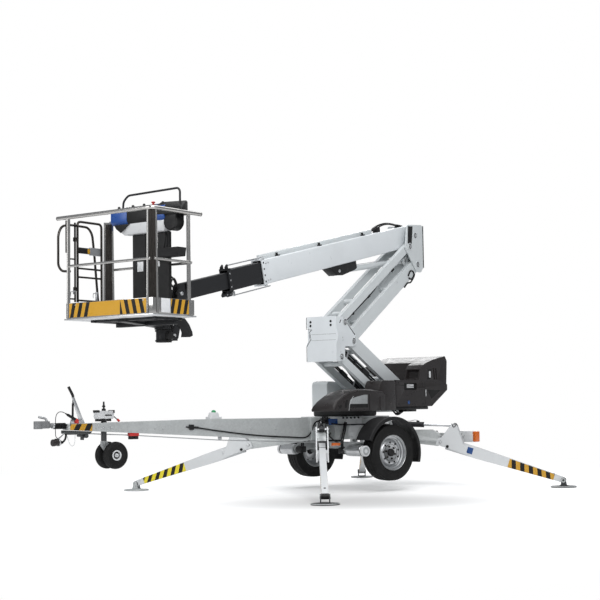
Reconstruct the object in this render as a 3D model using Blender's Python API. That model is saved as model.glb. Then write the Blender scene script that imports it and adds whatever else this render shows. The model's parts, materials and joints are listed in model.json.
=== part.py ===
"""Towable boom lift, parked on its four outriggers with the boom turned a little to one side.

Metres, +Z up, +X towards the tow hitch, +Y the machine's left. The origin lies on the ground.
The chassis is drawn in world axes with the slewing axis at x = 0, and the whole model is moved
by ORIGIN_X at the end, so that the origin lies under the middle of the object's box.
Everything above the slew ring is drawn under the empty "slew_axis": s forward, t left, z up.
"""
import math

import bmesh
import bpy
from mathutils import Matrix, Vector

for old in list(bpy.data.objects):
    bpy.data.objects.remove(old, do_unlink=True)

# Clearances
GAP = 0.0003
FACETS = 0.6
PIN_GAP = 0.001
RUN_GAP = 0.0008

# Chassis
DECK_Z = 0.865
FRAME_HALF_X = 0.42
FRAME_HALF_Y = 0.32
FRAME_BOTTOM = 0.60
TOWBAR_START = 0.60
TOWBAR_END = 3.76
TOWBAR_HALF_Y = 0.065
HITCH_TIP = 4.12
HITCH_Z = 0.838

# Outriggers: hinge in plan, foot in plan, heights
LEG_HINGE = (0.92, 0.68)
LEG_FOOT = (1.806, 1.806)
LEG_HINGE_Z = 0.54
FOOT_PIN_Z = 0.085
LEG_LUG_OUT = 0.17
LEG_LUG_UP = 0.195
LEG_CYL_BASE_OUT = -0.62
LEG_CYL_BASE_UP = 0.225
ARM_HALF = 0.05
FOOT_R = 0.15

# Road wheels
WHEEL_X = -0.047
WHEEL_Z = 0.444
TYRE_R = 0.323
TYRE_INNER_Y = 0.611
TYRE_OUTER_Y = 0.801
RIM_R = 0.196
GUARD_R = 0.415
GUARD_INNER_R = 0.405
GUARD_LIP_R = 0.372
GUARD_LIP = 0.013
GUARD_Y = (0.585, 0.825)
GUARD_ARC = (22.0, 197.0)
GUARD_STEPS = 22
GUARD_ARM_HALF = 0.03

# Jockey wheel
JOCKEY_X = 3.31
JOCKEY_TRAIL = 0.09
JOCKEY_AXLE_Z = 0.512
JOCKEY_R = 0.143

# Slewing superstructure, in s and z
SLEW_DEG = 15.6
RING_TOP = 0.903
PLATE_TOP = 0.927
PLATE_HALF_T = 0.206
PLATE_RING_R = 0.36
LOW_ELEV = 28.0
LOW_LEN = 1.25
UP_ELEV = 33.0
UP_LEN = 1.896
PIN_R = 0.022
PIN_REACH = 0.200
RAM_PIN_R = 0.016
RAM_PIN_REACH = 0.060
RAM_EYE_HALF = 0.040
LOW_BAND = (0.136, 0.186)
UP_BAND = (0.078, 0.130)
CHEEK = (0.191, 0.206)
RAM_LUG = (0.050, 0.064)
TOP_CHEEK = (0.136, 0.150)

# Pivots: K and U on the middle knuckle, B on the turntable, T on the top knuckle
K1 = (0.09, 1.755)
K2 = (0.35, 1.565)
U2 = (0.27, 1.975)
LOW_VEC = (LOW_LEN * math.cos(math.radians(LOW_ELEV)), LOW_LEN * math.sin(math.radians(LOW_ELEV)))
UP_VEC = (-UP_LEN * math.cos(math.radians(UP_ELEV)), UP_LEN * math.sin(math.radians(UP_ELEV)))
B1 = (K1[0] - LOW_VEC[0], K1[1] - LOW_VEC[1])
B2 = (K2[0] - LOW_VEC[0], K2[1] - LOW_VEC[1])
T1 = (K1[0] + UP_VEC[0], K1[1] + UP_VEC[1])
T2 = (U2[0] + UP_VEC[0], U2[1] + UP_VEC[1])
LIFT_BASE = (B1[0] + 0.414, B1[1] - 0.098)
LIFT_EYE = (K1[0] + 0.125, K1[1] - 0.095)
LIFT_BARREL_R = 0.040
LIFT_ROD_R = 0.025

# Main boom, in its own frame: u along the boom from the luffing hinge, w up from its centre line
LUFF = (T1[0] + 0.050, T1[1] + 0.370)
BOOM_DIP = 12.37
OUTER_HALF_T = 0.068
OUTER_HALF_W = 0.137
OUTER_REAR = -0.10
OUTER_FRONT = 3.19
OUTER_WALL = 0.0055
TELE1_HALF_T = 0.054
TELE1_HALF_W = 0.115
TELE1_FRONT = 3.785
TELE2_HALF_T = 0.042
TELE2_HALF_W = 0.089
TELE2_FRONT = 4.60
TELE_WALL = 0.005
LUFF_BASE = (T1[0] + 0.170, T1[1] + 0.040)
LUFF_EYE_U = 1.69
LUFF_EYE_W = -0.205
LUFF_BARREL_R = 0.036
LUFF_ROD_R = 0.023

# Work platform: corners in s and t, floor top and rail top in z
PLAT_DEPTH = 0.637
PLAT_HALF_T = 0.592
PLAT_RISE = 1.030
PLAT_FROM_SWIVEL = 0.1655
SWIVEL_FROM_LEVEL = 0.2284
FLOOR_FROM_LEVEL = -0.2697
POST_WIDE = (0.118, 0.098)
POST_THICK = 0.034
TOP_RAIL_R = 0.021
MID_RAIL_R = 0.0135
MID_RAIL_UP = 0.52
TOE_UP = 0.15
LEVEL_PIN_R = 0.017
GATE_PIN_R = 0.010
GATE_HINGE_IN = 0.135

# Turntable covers
HOOD_HALF_T = 0.43
HOOD_NOTCH = 0.2063
COVER_SEAM = B1[0] + 0.544
BONNET_REAR = COVER_SEAM + 0.35

ORIGIN_X = -(HITCH_TIP - (LEG_FOOT[0] + FOOT_R)) / 2

COLOURS = {
    "white_paint": (0.80, 0.82, 0.82, 0.45, 0.0),
    "grey_steel": (0.52, 0.56, 0.55, 0.50, 0.35),
    "black_plastic": (0.035, 0.034, 0.036, 0.55, 0.0),
    "black_steel": (0.02, 0.02, 0.022, 0.45, 0.3),
    "tyre": (0.02, 0.02, 0.02, 0.85, 0.0),
    "silver": (0.68, 0.69, 0.70, 0.35, 0.8),
    "chrome": (0.80, 0.80, 0.80, 0.12, 1.0),
    "polished": (0.75, 0.77, 0.78, 0.28, 0.9),
    "grey_plastic": (0.42, 0.45, 0.48, 0.5, 0.0),
}


def material(name):
    mat = bpy.data.materials.new(name)
    mat.use_nodes = True
    r, g, b, rough, metal = COLOURS[name]
    shader = mat.node_tree.nodes["Principled BSDF"]
    shader.inputs["Base Color"].default_value = (r, g, b, 1.0)
    shader.inputs["Roughness"].default_value = rough
    shader.inputs["Metallic"].default_value = metal
    mat.diffuse_color = (r, g, b, 1.0)
    return mat


def to_mesh(bm):
    bmesh.ops.recalc_face_normals(bm, faces=bm.faces)
    mesh = bpy.data.meshes.new("shape")
    bm.to_mesh(mesh)
    bm.free()
    return mesh


def box(x0, x1, y0, y1, z0, z1, bevel=0.0):
    bm = bmesh.new()
    bmesh.ops.create_cube(bm, size=1.0)
    size = Vector((x1 - x0, y1 - y0, z1 - z0))
    middle = Vector(((x0 + x1) / 2, (y0 + y1) / 2, (z0 + z1) / 2))
    for v in bm.verts:
        v.co = Vector((v.co.x * size.x, v.co.y * size.y, v.co.z * size.z)) + middle
    if bevel > 0:
        bmesh.ops.bevel(bm, geom=bm.edges[:], offset=bevel, segments=2, affect="EDGES", profile=0.5)
    return to_mesh(bm)


def sides(count):
    return max(8, int(count * FACETS / 2) * 2)


def rod(p0, p1, radius, segments=20, radius_end=None):
    """A round bar from p0 to p1, straight or tapered."""
    segments = sides(segments)
    p0, p1 = Vector(p0), Vector(p1)
    axis = p1 - p0
    bm = bmesh.new()
    end = radius if radius_end is None else radius_end
    bmesh.ops.create_cone(bm, cap_ends=True, segments=segments, radius1=radius, radius2=end,
                          depth=axis.length)
    turn = axis.to_track_quat("Z", "Y").to_matrix().to_4x4()
    bmesh.ops.transform(bm, matrix=Matrix.Translation((p0 + p1) / 2) @ turn, verts=bm.verts)
    return to_mesh(bm)


def plate(points, low, high, plane="xz"):
    """A flat plate: its outline lies in the named plane and it runs from low to high across it."""
    bm = bmesh.new()
    ring = []
    for a, b in points:
        co = {"xz": (a, low, b), "xy": (a, b, low), "yz": (low, a, b)}[plane]
        ring.append(bm.verts.new(co))
    face = bm.faces.new(ring)
    step = {"xz": (0, high - low, 0), "xy": (0, 0, high - low), "yz": (high - low, 0, 0)}[plane]
    out = bmesh.ops.extrude_face_region(bm, geom=[face])
    moved = [g for g in out["geom"] if isinstance(g, bmesh.types.BMVert)]
    bmesh.ops.translate(bm, vec=step, verts=moved)
    return to_mesh(bm)


def turned(profile, centre, axis, segments=40):
    """A closed ring or disc: profile points are (along the axis, radius)."""
    bm = bmesh.new()
    segments = sides(segments)
    axis = Vector(axis).normalized()
    side = axis.orthogonal().normalized()
    up = axis.cross(side)
    rings = []
    for k in range(segments):
        angle = 2 * math.pi * k / segments
        radial = side * math.cos(angle) + up * math.sin(angle)
        rings.append([bm.verts.new(Vector(centre) + axis * a + radial * r) for a, r in profile])
    count = len(profile)
    for k in range(segments):
        here, there = rings[k], rings[(k + 1) % segments]
        for i in range(count):
            j = (i + 1) % count
            bm.faces.new((here[i], here[j], there[j], there[i]))
    return to_mesh(bm)


def arc_sweep(profile, centre, arc):
    """A closed profile of (y, radius) points carried along an arc about the y axis."""
    bm = bmesh.new()
    rings = []
    for i in range(GUARD_STEPS + 1):
        angle = math.radians(arc[0] + (arc[1] - arc[0]) * i / GUARD_STEPS)
        ring = [(centre[0] + r * math.cos(angle), centre[1] + y, centre[2] + r * math.sin(angle))
                for y, r in profile]
        rings.append([bm.verts.new(co) for co in ring])
    count = len(profile)
    for here, there in zip(rings, rings[1:]):
        for i in range(count):
            j = (i + 1) % count
            bm.faces.new((here[i], here[j], there[j], there[i]))
    bm.faces.new(rings[0])
    bm.faces.new(rings[-1])
    return to_mesh(bm)


def tube_path(points, radius, segments=12):
    """A round tube along straight runs, mitred at the corners, with flat ends."""
    points = [Vector(p) for p in points]
    bm = bmesh.new()
    rings = []
    first = (points[1] - points[0]).normalized()
    side = first.orthogonal().normalized()
    for i, p in enumerate(points):
        before = (p - points[i - 1]).normalized() if i > 0 else None
        after = (points[i + 1] - p).normalized() if i + 1 < len(points) else None
        direction = before or after
        normal = (before + after).normalized() if before and after else direction
        if i > 0:
            previous = (points[i] - points[i - 1]).normalized()
            if i > 1:
                older = (points[i - 1] - points[i - 2]).normalized()
                side = older.rotation_difference(previous) @ side
        run = before if before else after
        other = run.cross(side).normalized()
        ring = []
        for k in range(segments):
            angle = 2 * math.pi * k / segments
            offset = (side * math.cos(angle) + other * math.sin(angle)) * radius
            slide = -offset.dot(normal) / run.dot(normal)
            ring.append(bm.verts.new(p + offset + run * slide))
        rings.append(ring)
    for a, b in zip(rings, rings[1:]):
        for k in range(segments):
            j = (k + 1) % segments
            bm.faces.new((a[k], a[j], b[j], b[k]))
    bm.faces.new(rings[0])
    bm.faces.new(rings[-1])
    return to_mesh(bm)


def frame_strip(low, high, half, z0, z1):
    """An upright strip that runs round a rectangle."""
    bm = bmesh.new()
    loops = []
    for grow in (half, -half):
        for z in (z0, z1):
            x0, y0 = low[0] - grow, low[1] - grow
            x1, y1 = high[0] + grow, high[1] + grow
            loops.append([bm.verts.new(c) for c in
                          ((x0, y0, z), (x1, y0, z), (x1, y1, z), (x0, y1, z))])
    for a, b in ((0, 1), (1, 3), (3, 2), (2, 0)):
        for k in range(4):
            j = (k + 1) % 4
            bm.faces.new((loops[a][k], loops[a][j], loops[b][j], loops[b][k]))
    return to_mesh(bm)


def moved(mesh, matrix):
    mesh.transform(matrix)
    return mesh


def boolean(base, mesh, operation):
    tool = bpy.data.objects.new("tool", mesh)
    bpy.context.scene.collection.objects.link(tool)
    mod = base.modifiers.new("step", "BOOLEAN")
    mod.operation = operation
    mod.solver = "EXACT"
    mod.object = tool
    graph = bpy.context.evaluated_depsgraph_get()
    done = bpy.data.meshes.new_from_object(base.evaluated_get(graph))
    base.modifiers.remove(mod)
    base.data = done
    bpy.data.objects.remove(tool, do_unlink=True)


def node(name, colour, solids, cuts=(), parent=None, origin=(0, 0, 0), smooth=True, inside=()):
    """One sub-part: its solids joined, less its cuts, plus what stands inside a cut."""
    obj = bpy.data.objects.new(name, solids[0])
    bpy.context.scene.collection.objects.link(obj)
    for mesh in solids[1:]:
        boolean(obj, mesh, "UNION")
    for mesh in cuts:
        boolean(obj, mesh, "DIFFERENCE")
    for mesh in inside:
        boolean(obj, mesh, "UNION")
    data = obj.data
    data.transform(Matrix.Translation(-Vector(origin)))
    obj.location = origin
    data.materials.clear()
    data.materials.append(MATERIALS[colour])
    if smooth:
        data.shade_smooth()
        data.set_sharp_from_angle(angle=math.radians(32))
    if parent is not None:
        obj.parent = parent
    return obj


def empty(name, location, rotation=(0, 0, 0), parent=None):
    obj = bpy.data.objects.new(name, None)
    obj.location = location
    obj.rotation_euler = rotation
    bpy.context.scene.collection.objects.link(obj)
    if parent is not None:
        obj.parent = parent
    return obj


MATERIALS = {name: material(name) for name in COLOURS}
ROOT = empty("chassis_axes", (ORIGIN_X, 0, 0))

# Chassis frame with its four outrigger arms
leg_dir = Vector((LEG_FOOT[0] - LEG_HINGE[0], LEG_FOOT[1] - LEG_HINGE[1], 0))
LEG_REACH = leg_dir.length
CORNERS = {
    "front_left": (1, 1),
    "front_right": (1, -1),
    "rear_left": (-1, 1),
    "rear_right": (-1, -1),
}


def corner_matrix(sx, sy):
    """Leg frame: +x runs outwards from the hinge, +z is up, at the corner's own place."""
    angle = math.atan2(sy * leg_dir.y, sx * leg_dir.x)
    place = Matrix.Translation((sx * LEG_HINGE[0], sy * LEG_HINGE[1], 0))
    return place @ Matrix.Rotation(angle, 4, "Z")


frame_parts = [
    box(-FRAME_HALF_X, FRAME_HALF_X, -FRAME_HALF_Y, FRAME_HALF_Y, FRAME_BOTTOM, DECK_Z),
    box(FRAME_HALF_X - 0.02, TOWBAR_START, -0.10, 0.10, FRAME_BOTTOM, DECK_Z - 0.004),
    box(-1.17, -FRAME_HALF_X + 0.02, -0.045, 0.045, 0.585, 0.665),
]
frame_cuts = []
ARM_OUTLINE = [
    (-0.80, 0.602), (-0.80, 0.690), (-0.10, 0.690), (-0.03, 0.650), (0.035, 0.575),
    (0.035, 0.505), (-0.04, 0.495), (-0.45, 0.545),
]
for sx, sy in CORNERS.values():
    place = corner_matrix(sx, sy)
    frame_parts.append(moved(plate(ARM_OUTLINE, -ARM_HALF, ARM_HALF), place))
    for side in (-1, 1):
        ear = [(-0.67, 0.68), (-0.65, 0.80), (-0.59, 0.80), (-0.55, 0.68)]
        low, high = sorted((side * 0.036, side * ARM_HALF))
        frame_parts.append(moved(plate(ear, low, high), place))
    pin = rod((0, -0.078, LEG_HINGE_Z), (0, 0.078, LEG_HINGE_Z), 0.018)
    frame_parts.append(moved(pin, place))
    out, up = LEG_CYL_BASE_OUT, LEG_HINGE_Z + LEG_CYL_BASE_UP
    frame_parts.append(moved(rod((out, -0.040, up), (out, 0.040, up), 0.010), place))
guard_half_step = math.radians(GUARD_ARC[1] - GUARD_ARC[0]) / GUARD_STEPS / 2
guard_reach = GUARD_INNER_R * math.cos(guard_half_step)
guard_seat = WHEEL_Z + math.sqrt(guard_reach ** 2 - GUARD_ARM_HALF ** 2) - GAP
for side in (-1, 1):
    y0, y1 = sorted((side * 0.30, side * 0.60))
    frame_parts.append(box(WHEEL_X - GUARD_ARM_HALF, WHEEL_X + GUARD_ARM_HALF, y0, y1,
                           guard_seat - 0.016, guard_seat))
    frame_parts.append(box(0.06, 0.14, side * 0.27 - 0.02, side * 0.27 + 0.02, 0.565, 0.62))
frame_parts.append(rod((0, 0, DECK_Z - 0.01), (0, 0, RING_TOP), 0.31, 48))
frame_parts.append(box(-1.21, -1.16, -0.80, 0.80, 0.60, 0.64))
for side in (-1, 1):
    y0, y1 = sorted((side * 0.53, side * 0.86))
    frame_parts.append(box(-1.265, -1.205, y0, y1, 0.535, 0.665, 0.012))
node("chassis_frame", "grey_steel", frame_parts, parent=ROOT)

# Towbar, coupling and brake lever
TOW_TOP0, TOW_TOP1 = 0.864, 0.850
TOW_LOW0, TOW_LOW1 = 0.592, 0.788
TOW_CREST = (2.20, 0.868)
tow_outline = [
    (TOWBAR_START + GAP, TOW_LOW0), (TOWBAR_END, TOW_LOW1), (TOWBAR_END, TOW_TOP1),
    TOW_CREST, (TOWBAR_START + GAP, TOW_TOP0 - 0.004),
]
node("towbar", "grey_steel",
     [plate(tow_outline, -TOWBAR_HALF_Y, TOWBAR_HALF_Y)],
     [rod((JOCKEY_X, 0, 0.5), (JOCKEY_X, 0, 1.0), 0.0305, 24)], parent=ROOT)
node("coupling_bellows", "black_plastic", [
    rod((TOWBAR_END + GAP, 0, HITCH_Z - 0.008), (TOWBAR_END + 0.14, 0, HITCH_Z - 0.008), 0.032, 20),
], parent=ROOT)
coupler = [
    rod((TOWBAR_END + 0.1404, 0, HITCH_Z), (4.03, 0, HITCH_Z), 0.024, 20),
    box(3.955, 4.10, -0.034, 0.034, HITCH_Z - 0.030, HITCH_Z + 0.045, 0.008),
    rod((4.075, 0, HITCH_Z - 0.034), (4.075, 0, HITCH_Z + 0.045), 0.045, 28),
    tube_path([(3.97, 0, HITCH_Z + 0.03), (3.99, 0, HITCH_Z + 0.07), (4.06, 0, HITCH_Z + 0.085)],
              0.011, 10),
]
node("ball_coupling", "grey_steel", coupler,
     [rod((4.075, 0, HITCH_Z - 0.06), (4.075, 0, HITCH_Z + 0.015), 0.027, 24)], parent=ROOT)
tow_slope = (TOW_TOP1 - TOW_CREST[1]) / (TOWBAR_END - TOW_CREST[0])
seat = [(x, TOW_CREST[1] + (x - TOW_CREST[0]) * tow_slope + GAP) for x in (3.55, 3.72)]
node("brake_lever", "black_steel", [
    plate([*seat, (3.705, 0.90), (3.575, 0.90)], 0.010, 0.030),
    plate([(3.575, 0.88), (3.605, 0.88), (3.694, 1.135), (3.676, 1.135)], 0.015, 0.025),
    tube_path([(3.690, 0.02, 0.88), (3.684, 0.02, 1.13), (3.737, 0.02, 1.232)], 0.011, 10),
], parent=ROOT)

# Jockey wheel: post, turning fork, twin wheels
node("jockey_post", "grey_steel", [
    rod((JOCKEY_X, 0, 0.6608), (JOCKEY_X, 0, 0.93), 0.030, 24),
    rod((JOCKEY_X, 0, 0.92), (JOCKEY_X, 0, 1.065), 0.016, 16),
    box(JOCKEY_X - 0.055, JOCKEY_X + 0.055, -0.05, 0.05, 0.862, 0.90),
    tube_path([(JOCKEY_X, 0, 1.055), (JOCKEY_X - 0.10, 0, 1.055), (JOCKEY_X - 0.10, 0, 1.10)],
              0.008, 10),
], parent=ROOT)
JOCKEY = empty("jockey_swivel", (JOCKEY_X, 0, 0.66), parent=ROOT)
AX = JOCKEY_AXLE_Z - 0.66
TR = -JOCKEY_TRAIL
node("jockey_fork", "grey_steel", [
    rod((0, 0, 0.0), (0, 0, -0.045), 0.024, 24),
    plate([(0.03, 0.0), (0.03, -0.05), (TR + 0.02, AX - 0.025), (TR - 0.03, AX - 0.02),
           (TR - 0.02, AX + 0.04), (-0.03, 0.0)], -0.021, 0.021),
    rod((TR, -0.128, AX), (TR, 0.128, AX), 0.009, 16),
], parent=JOCKEY)
twin = [(-0.120, 0.0105), (-0.120, 0.125), (-0.106, JOCKEY_R), (-0.062, JOCKEY_R), (-0.048, 0.125),
        (-0.048, 0.05), (-0.0215, 0.05), (-0.0215, 0.0105)]
for name, side in (("left", 1), ("right", -1)):
    ring = [(side * a, r) for a, r in twin]
    node("jockey_wheel_" + name, "tyre", [turned(ring, (0, 0, 0), (0, 1, 0), 32)],
         parent=JOCKEY).location = (TR, 0, AX)

# Axle, road wheels, mudguards and drive rollers
node("axle_beam", "grey_steel", [
    box(0.06, 0.14, -0.52, 0.52, 0.485, 0.5647),
    plate([(0.14, 0.565), (0.14, 0.49), (-0.02, 0.405), (-0.09, 0.42), (-0.075, 0.485)],
          0.515, 0.56),
    plate([(0.14, 0.565), (0.14, 0.49), (-0.02, 0.405), (-0.09, 0.42), (-0.075, 0.485)],
          -0.56, -0.515),
    rod((WHEEL_X, 0.55, WHEEL_Z), (WHEEL_X, 0.70, WHEEL_Z), 0.024, 20),
    rod((WHEEL_X, -0.55, WHEEL_Z), (WHEEL_X, -0.70, WHEEL_Z), 0.024, 20),
    rod((0.365, 0.48, 0.475), (0.365, 0.79, 0.475), 0.058, 28),
    plate([(0.10, 0.49), (0.10, 0.56), (0.34, 0.545), (0.42, 0.49), (0.36, 0.43)], 0.45, 0.50),
    rod((0.365, -0.48, 0.475), (0.365, -0.79, 0.475), 0.058, 28),
    plate([(0.10, 0.49), (0.10, 0.56), (0.34, 0.545), (0.42, 0.49), (0.36, 0.43)], -0.50, -0.45),
], parent=ROOT)
for name, side in (("left", 1), ("right", -1)):
    half = (TYRE_OUTER_Y - TYRE_INNER_Y) / 2
    middle = side * (TYRE_OUTER_Y + TYRE_INNER_Y) / 2
    rubber = [
        (-half * 0.82, RIM_R), (-half, 0.235), (-half, 0.275), (-half * 0.80, TYRE_R),
        (half * 0.80, TYRE_R), (half, 0.275), (half, 0.235), (half * 0.82, RIM_R),
    ]
    node("tyre_" + name, "tyre", [turned(rubber, (0, 0, 0), (0, 1, 0), 54)],
         parent=ROOT).location = (WHEEL_X, middle, WHEEL_Z)
    face = 0.035
    rim = [
        (-0.078, RIM_R - 0.022), (-0.078, RIM_R - GAP), (0.078, RIM_R - GAP),
        (0.078, RIM_R - 0.022), (face, RIM_R - 0.030), (face, 0.0248), (-0.060, 0.0248),
        (-0.060, 0.055), (face - 0.02, 0.060), (face - 0.02, RIM_R - 0.036),
    ]
    rim = [(side * a, r) for a, r in rim]
    hub = rod((0, side * 0.020, 0), (0, side * 0.070, 0), 0.050, 28)
    node("wheel_rim_" + name, "silver", [turned(rim, (0, 0, 0), (0, 1, 0), 54), hub],
         parent=ROOT).location = (WHEEL_X, middle, WHEEL_Z)
    edge_y, inner_y = side * GUARD_Y[1], side * GUARD_Y[0]
    lip_y = side * (GUARD_Y[1] - GUARD_LIP)
    guard = [(inner_y, GUARD_INNER_R), (inner_y, GUARD_R), (edge_y, GUARD_R), (edge_y, GUARD_LIP_R),
             (lip_y, GUARD_LIP_R), (lip_y, GUARD_INNER_R)]
    node("mudguard_" + name, "black_plastic", [arc_sweep(guard, (WHEEL_X, 0.0, WHEEL_Z), GUARD_ARC)],
         parent=ROOT)

# Outriggers
for name, (sx, sy) in CORNERS.items():
    place = corner_matrix(sx, sy)
    hinge = empty("leg_hinge_" + name, (sx * LEG_HINGE[0], sy * LEG_HINGE[1], LEG_HINGE_Z),
                  (0, 0, math.atan2(sy * leg_dir.y, sx * leg_dir.x)), ROOT)
    drop = FOOT_PIN_Z - LEG_HINGE_Z
    tip = LEG_REACH
    along = Vector((tip, drop))
    unit = along.normalized()
    normal = Vector((-unit.y, unit.x))

    def on_leg(a, n):
        p = unit * a + normal * n
        return (p.x, p.y)

    beam = [on_leg(0.075, -0.065), on_leg(0.075, 0.070), on_leg(0.45, 0.070),
            on_leg(along.length - 0.02, 0.035), on_leg(along.length + 0.02, 0.01),
            on_leg(along.length + 0.005, -0.030), on_leg(0.45, -0.065)]
    cheek = [on_leg(-0.045, -0.040), on_leg(-0.040, 0.035), (0.02, 0.06),
             (LEG_LUG_OUT - 0.035, LEG_LUG_UP + 0.015), (LEG_LUG_OUT + 0.0, LEG_LUG_UP + 0.030),
             (LEG_LUG_OUT + 0.03, LEG_LUG_UP + 0.005), (0.26, 0.02), on_leg(0.36, -0.055)]
    solids = [plate(beam, -0.036, 0.036)]
    for side in (-1, 1):
        low, high = sorted((side * 0.0555, side * 0.0695))
        solids.append(plate(cheek, low, high))
    solids.append(plate([on_leg(0.088, -0.050), on_leg(0.088, 0.045), on_leg(0.33, 0.045),
                         on_leg(0.33, -0.050)], -0.058, 0.058))
    cuts = [rod((0, -0.2, 0), (0, 0.2, 0), 0.018 + PIN_GAP, 24),
            rod((along.x, -0.2, along.y), (along.x, 0.2, along.y), 0.011, 20)]
    node("outrigger_leg_" + name, "white_paint", solids, cuts, parent=hinge)
    plate_z = -LEG_HINGE_Z
    disc = rod((tip, 0, plate_z), (tip, 0, plate_z + 0.014), FOOT_R, 36)
    boss = rod((tip, 0, plate_z + 0.010), (tip, 0, plate_z + 0.030), 0.045, 24)
    ears = []
    for side in (-1, 1):
        low, high = sorted((side * 0.040, side * 0.052))
        ears.append(plate([(tip - 0.035, plate_z + 0.012), (tip + 0.035, plate_z + 0.012),
                           (tip + 0.018, drop + 0.022), (tip - 0.018, drop + 0.022)], low, high))
    pin = rod((tip, -0.055, drop), (tip, 0.055, drop), 0.010, 20)
    wide = box(tip - 0.035, tip + 0.035, -0.052, 0.052, plate_z + 0.010, plate_z + 0.022)
    node("foot_plate_" + name, "grey_steel", [disc, wide] + ears + [pin], parent=hinge)
    base = Vector((LEG_CYL_BASE_OUT, 0, LEG_CYL_BASE_UP))
    eye = Vector((LEG_LUG_OUT, 0, LEG_LUG_UP))
    length = (eye - base).length
    tilt = math.atan2(base.z - eye.z, eye.x - base.x)
    barrel_axis = empty("leg_barrel_axis_" + name, base, (0, tilt, 0), hinge)
    node("outrigger_barrel_" + name, "black_steel", [
        rod((0, -0.034, 0), (0, 0.034, 0), 0.024, 24),
        rod((0.015, 0, 0), (0.42, 0, 0), 0.032, 28),
    ], [rod((0, -0.05, 0), (0, 0.05, 0), 0.010 + PIN_GAP, 24),
        rod((0.05, 0, 0), (0.45, 0, 0), 0.0205, 24)], parent=barrel_axis)
    node("outrigger_rod_" + name, "chrome", [
        rod((0.375, 0, 0), (length - 0.02, 0, 0), 0.016, 20),
        rod((0.375, 0, 0), (0.395, 0, 0), 0.0195, 20),
        rod((length, -0.028, 0), (length, 0.028, 0), 0.024, 24),
    ], [rod((length, -0.05, 0), (length, 0.05, 0), 0.010, 24)], parent=barrel_axis)

# Slewing superstructure
SLEW = empty("slew_axis", (0, 0, 0), (0, 0, math.radians(SLEW_DEG)), ROOT)


def rounded(points, radius, sharp=(), steps=3):
    """An outline with its corners rounded, except those numbered in sharp."""
    out = []
    for i, point in enumerate(points):
        corner = Vector(point)
        if i in sharp:
            out.append(corner)
            continue
        before = Vector(points[i - 1]) - corner
        after = Vector(points[(i + 1) % len(points)]) - corner
        cut = min(radius / math.tan(before.angle(after) / 2), 0.45 * before.length, 0.45 * after.length)
        start = corner + before.normalized() * cut
        end = corner + after.normalized() * cut
        for k in range(steps + 1):
            f = k / steps
            out.append(start * (1 - f) ** 2 + corner * (2 * f * (1 - f)) + end * f ** 2)
    return [(p.x, p.y) for p in out]


def off(pivot, points):
    """Points given as offsets from a pivot."""
    return [(pivot[0] + a, pivot[1] + b) for a, b in points]


def hull(points):
    """The convex body round a set of points."""
    bm = bmesh.new()
    for point in points:
        bm.verts.new(point)
    out = bmesh.ops.convex_hull(bm, input=bm.verts[:])
    spare = {g for g in out["geom_interior"] + out["geom_unused"] if isinstance(g, bmesh.types.BMVert)}
    bmesh.ops.delete(bm, geom=list(spare), context="VERTS")
    bmesh.ops.dissolve_limit(bm, angle_limit=0.001, verts=bm.verts[:], edges=bm.edges[:])
    return to_mesh(bm)


def both_sides(band, points, plane="xz"):
    """The same plate on the left and on the right."""
    plates = []
    for side in (-1, 1):
        low, high = sorted((side * band[0], side * band[1]))
        plates.append(plate(points, low, high, plane))
    return plates


def cross_pin(pivot, reach, radius):
    return rod((pivot[0], -reach, pivot[1]), (pivot[0], reach, pivot[1]), radius)


CHEEK_FOOT = PLATE_TOP - 0.01
base_cheek = off(B1, [(-0.106, 0.072), (0.084, 0.072)]) + off(B2, [(0.094, 0.072)])
base_cheek += [(B2[0] + 0.114, CHEEK_FOOT), (B1[0] - 0.126, CHEEK_FOOT)]
base_lug = off(LIFT_BASE, [(-0.04, 0.04), (0.04, 0.04)])
base_lug += [(LIFT_BASE[0] + 0.12, CHEEK_FOOT), (LIFT_BASE[0] - 0.10, CHEEK_FOOT)]
node("turntable", "white_paint", [
    rod((0, 0, RING_TOP + RUN_GAP), (0, 0, PLATE_TOP), PLATE_RING_R, 48),
    box(B1[0] - 0.126, 0.10, -PLATE_HALF_T, PLATE_HALF_T, RING_TOP + 0.004, PLATE_TOP),
    *both_sides(CHEEK, rounded(base_cheek, 0.04, sharp=(3, 4))),
    *both_sides(RAM_LUG, rounded(base_lug, 0.035, sharp=(2, 3))),
    cross_pin(B1, PIN_REACH, PIN_R),
    cross_pin(B2, PIN_REACH, PIN_R),
    cross_pin(LIFT_BASE, RAM_PIN_REACH, RAM_PIN_R),
], parent=SLEW)


def arm_pair(name, p, q, band, half_depth, cross):
    """Two parallel box beams from pin p to pin q, tied by cross tubes at the distances in cross."""
    p3, q3 = Vector((p[0], 0, p[1])), Vector((q[0], 0, q[1]))
    run = q3 - p3
    length = run.length
    turn = Matrix.Rotation(-math.atan2(run.z, run.x), 4, "Y")
    end = half_depth * 0.92
    outline = [(-end * 0.9, -end * 0.55), (-end * 0.9, end * 0.55), (-end * 0.3, end),
               (0.12, half_depth), (length - 0.12, half_depth), (length + end * 0.3, end),
               (length + end * 0.9, end * 0.55), (length + end * 0.9, -end * 0.55),
               (length + end * 0.3, -end), (length - 0.12, -half_depth),
               (0.12, -half_depth), (-end * 0.3, -end)]
    solids = [moved(beam, turn) for beam in both_sides(band, outline)]
    tube_r = min(0.03, half_depth * 0.7)
    for a in cross:
        centre = turn @ Vector((a, 0, 0))
        solids.append(cross_pin((centre.x, centre.z), band[0] + 0.01, tube_r))
    far = turn @ Vector((length, 0, 0))
    cuts = [cross_pin((0, 0), 0.3, PIN_R + PIN_GAP), cross_pin((far.x, far.z), 0.3, PIN_R + PIN_GAP)]
    node(name, "white_paint", solids, cuts, parent=SLEW).location = p3


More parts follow.
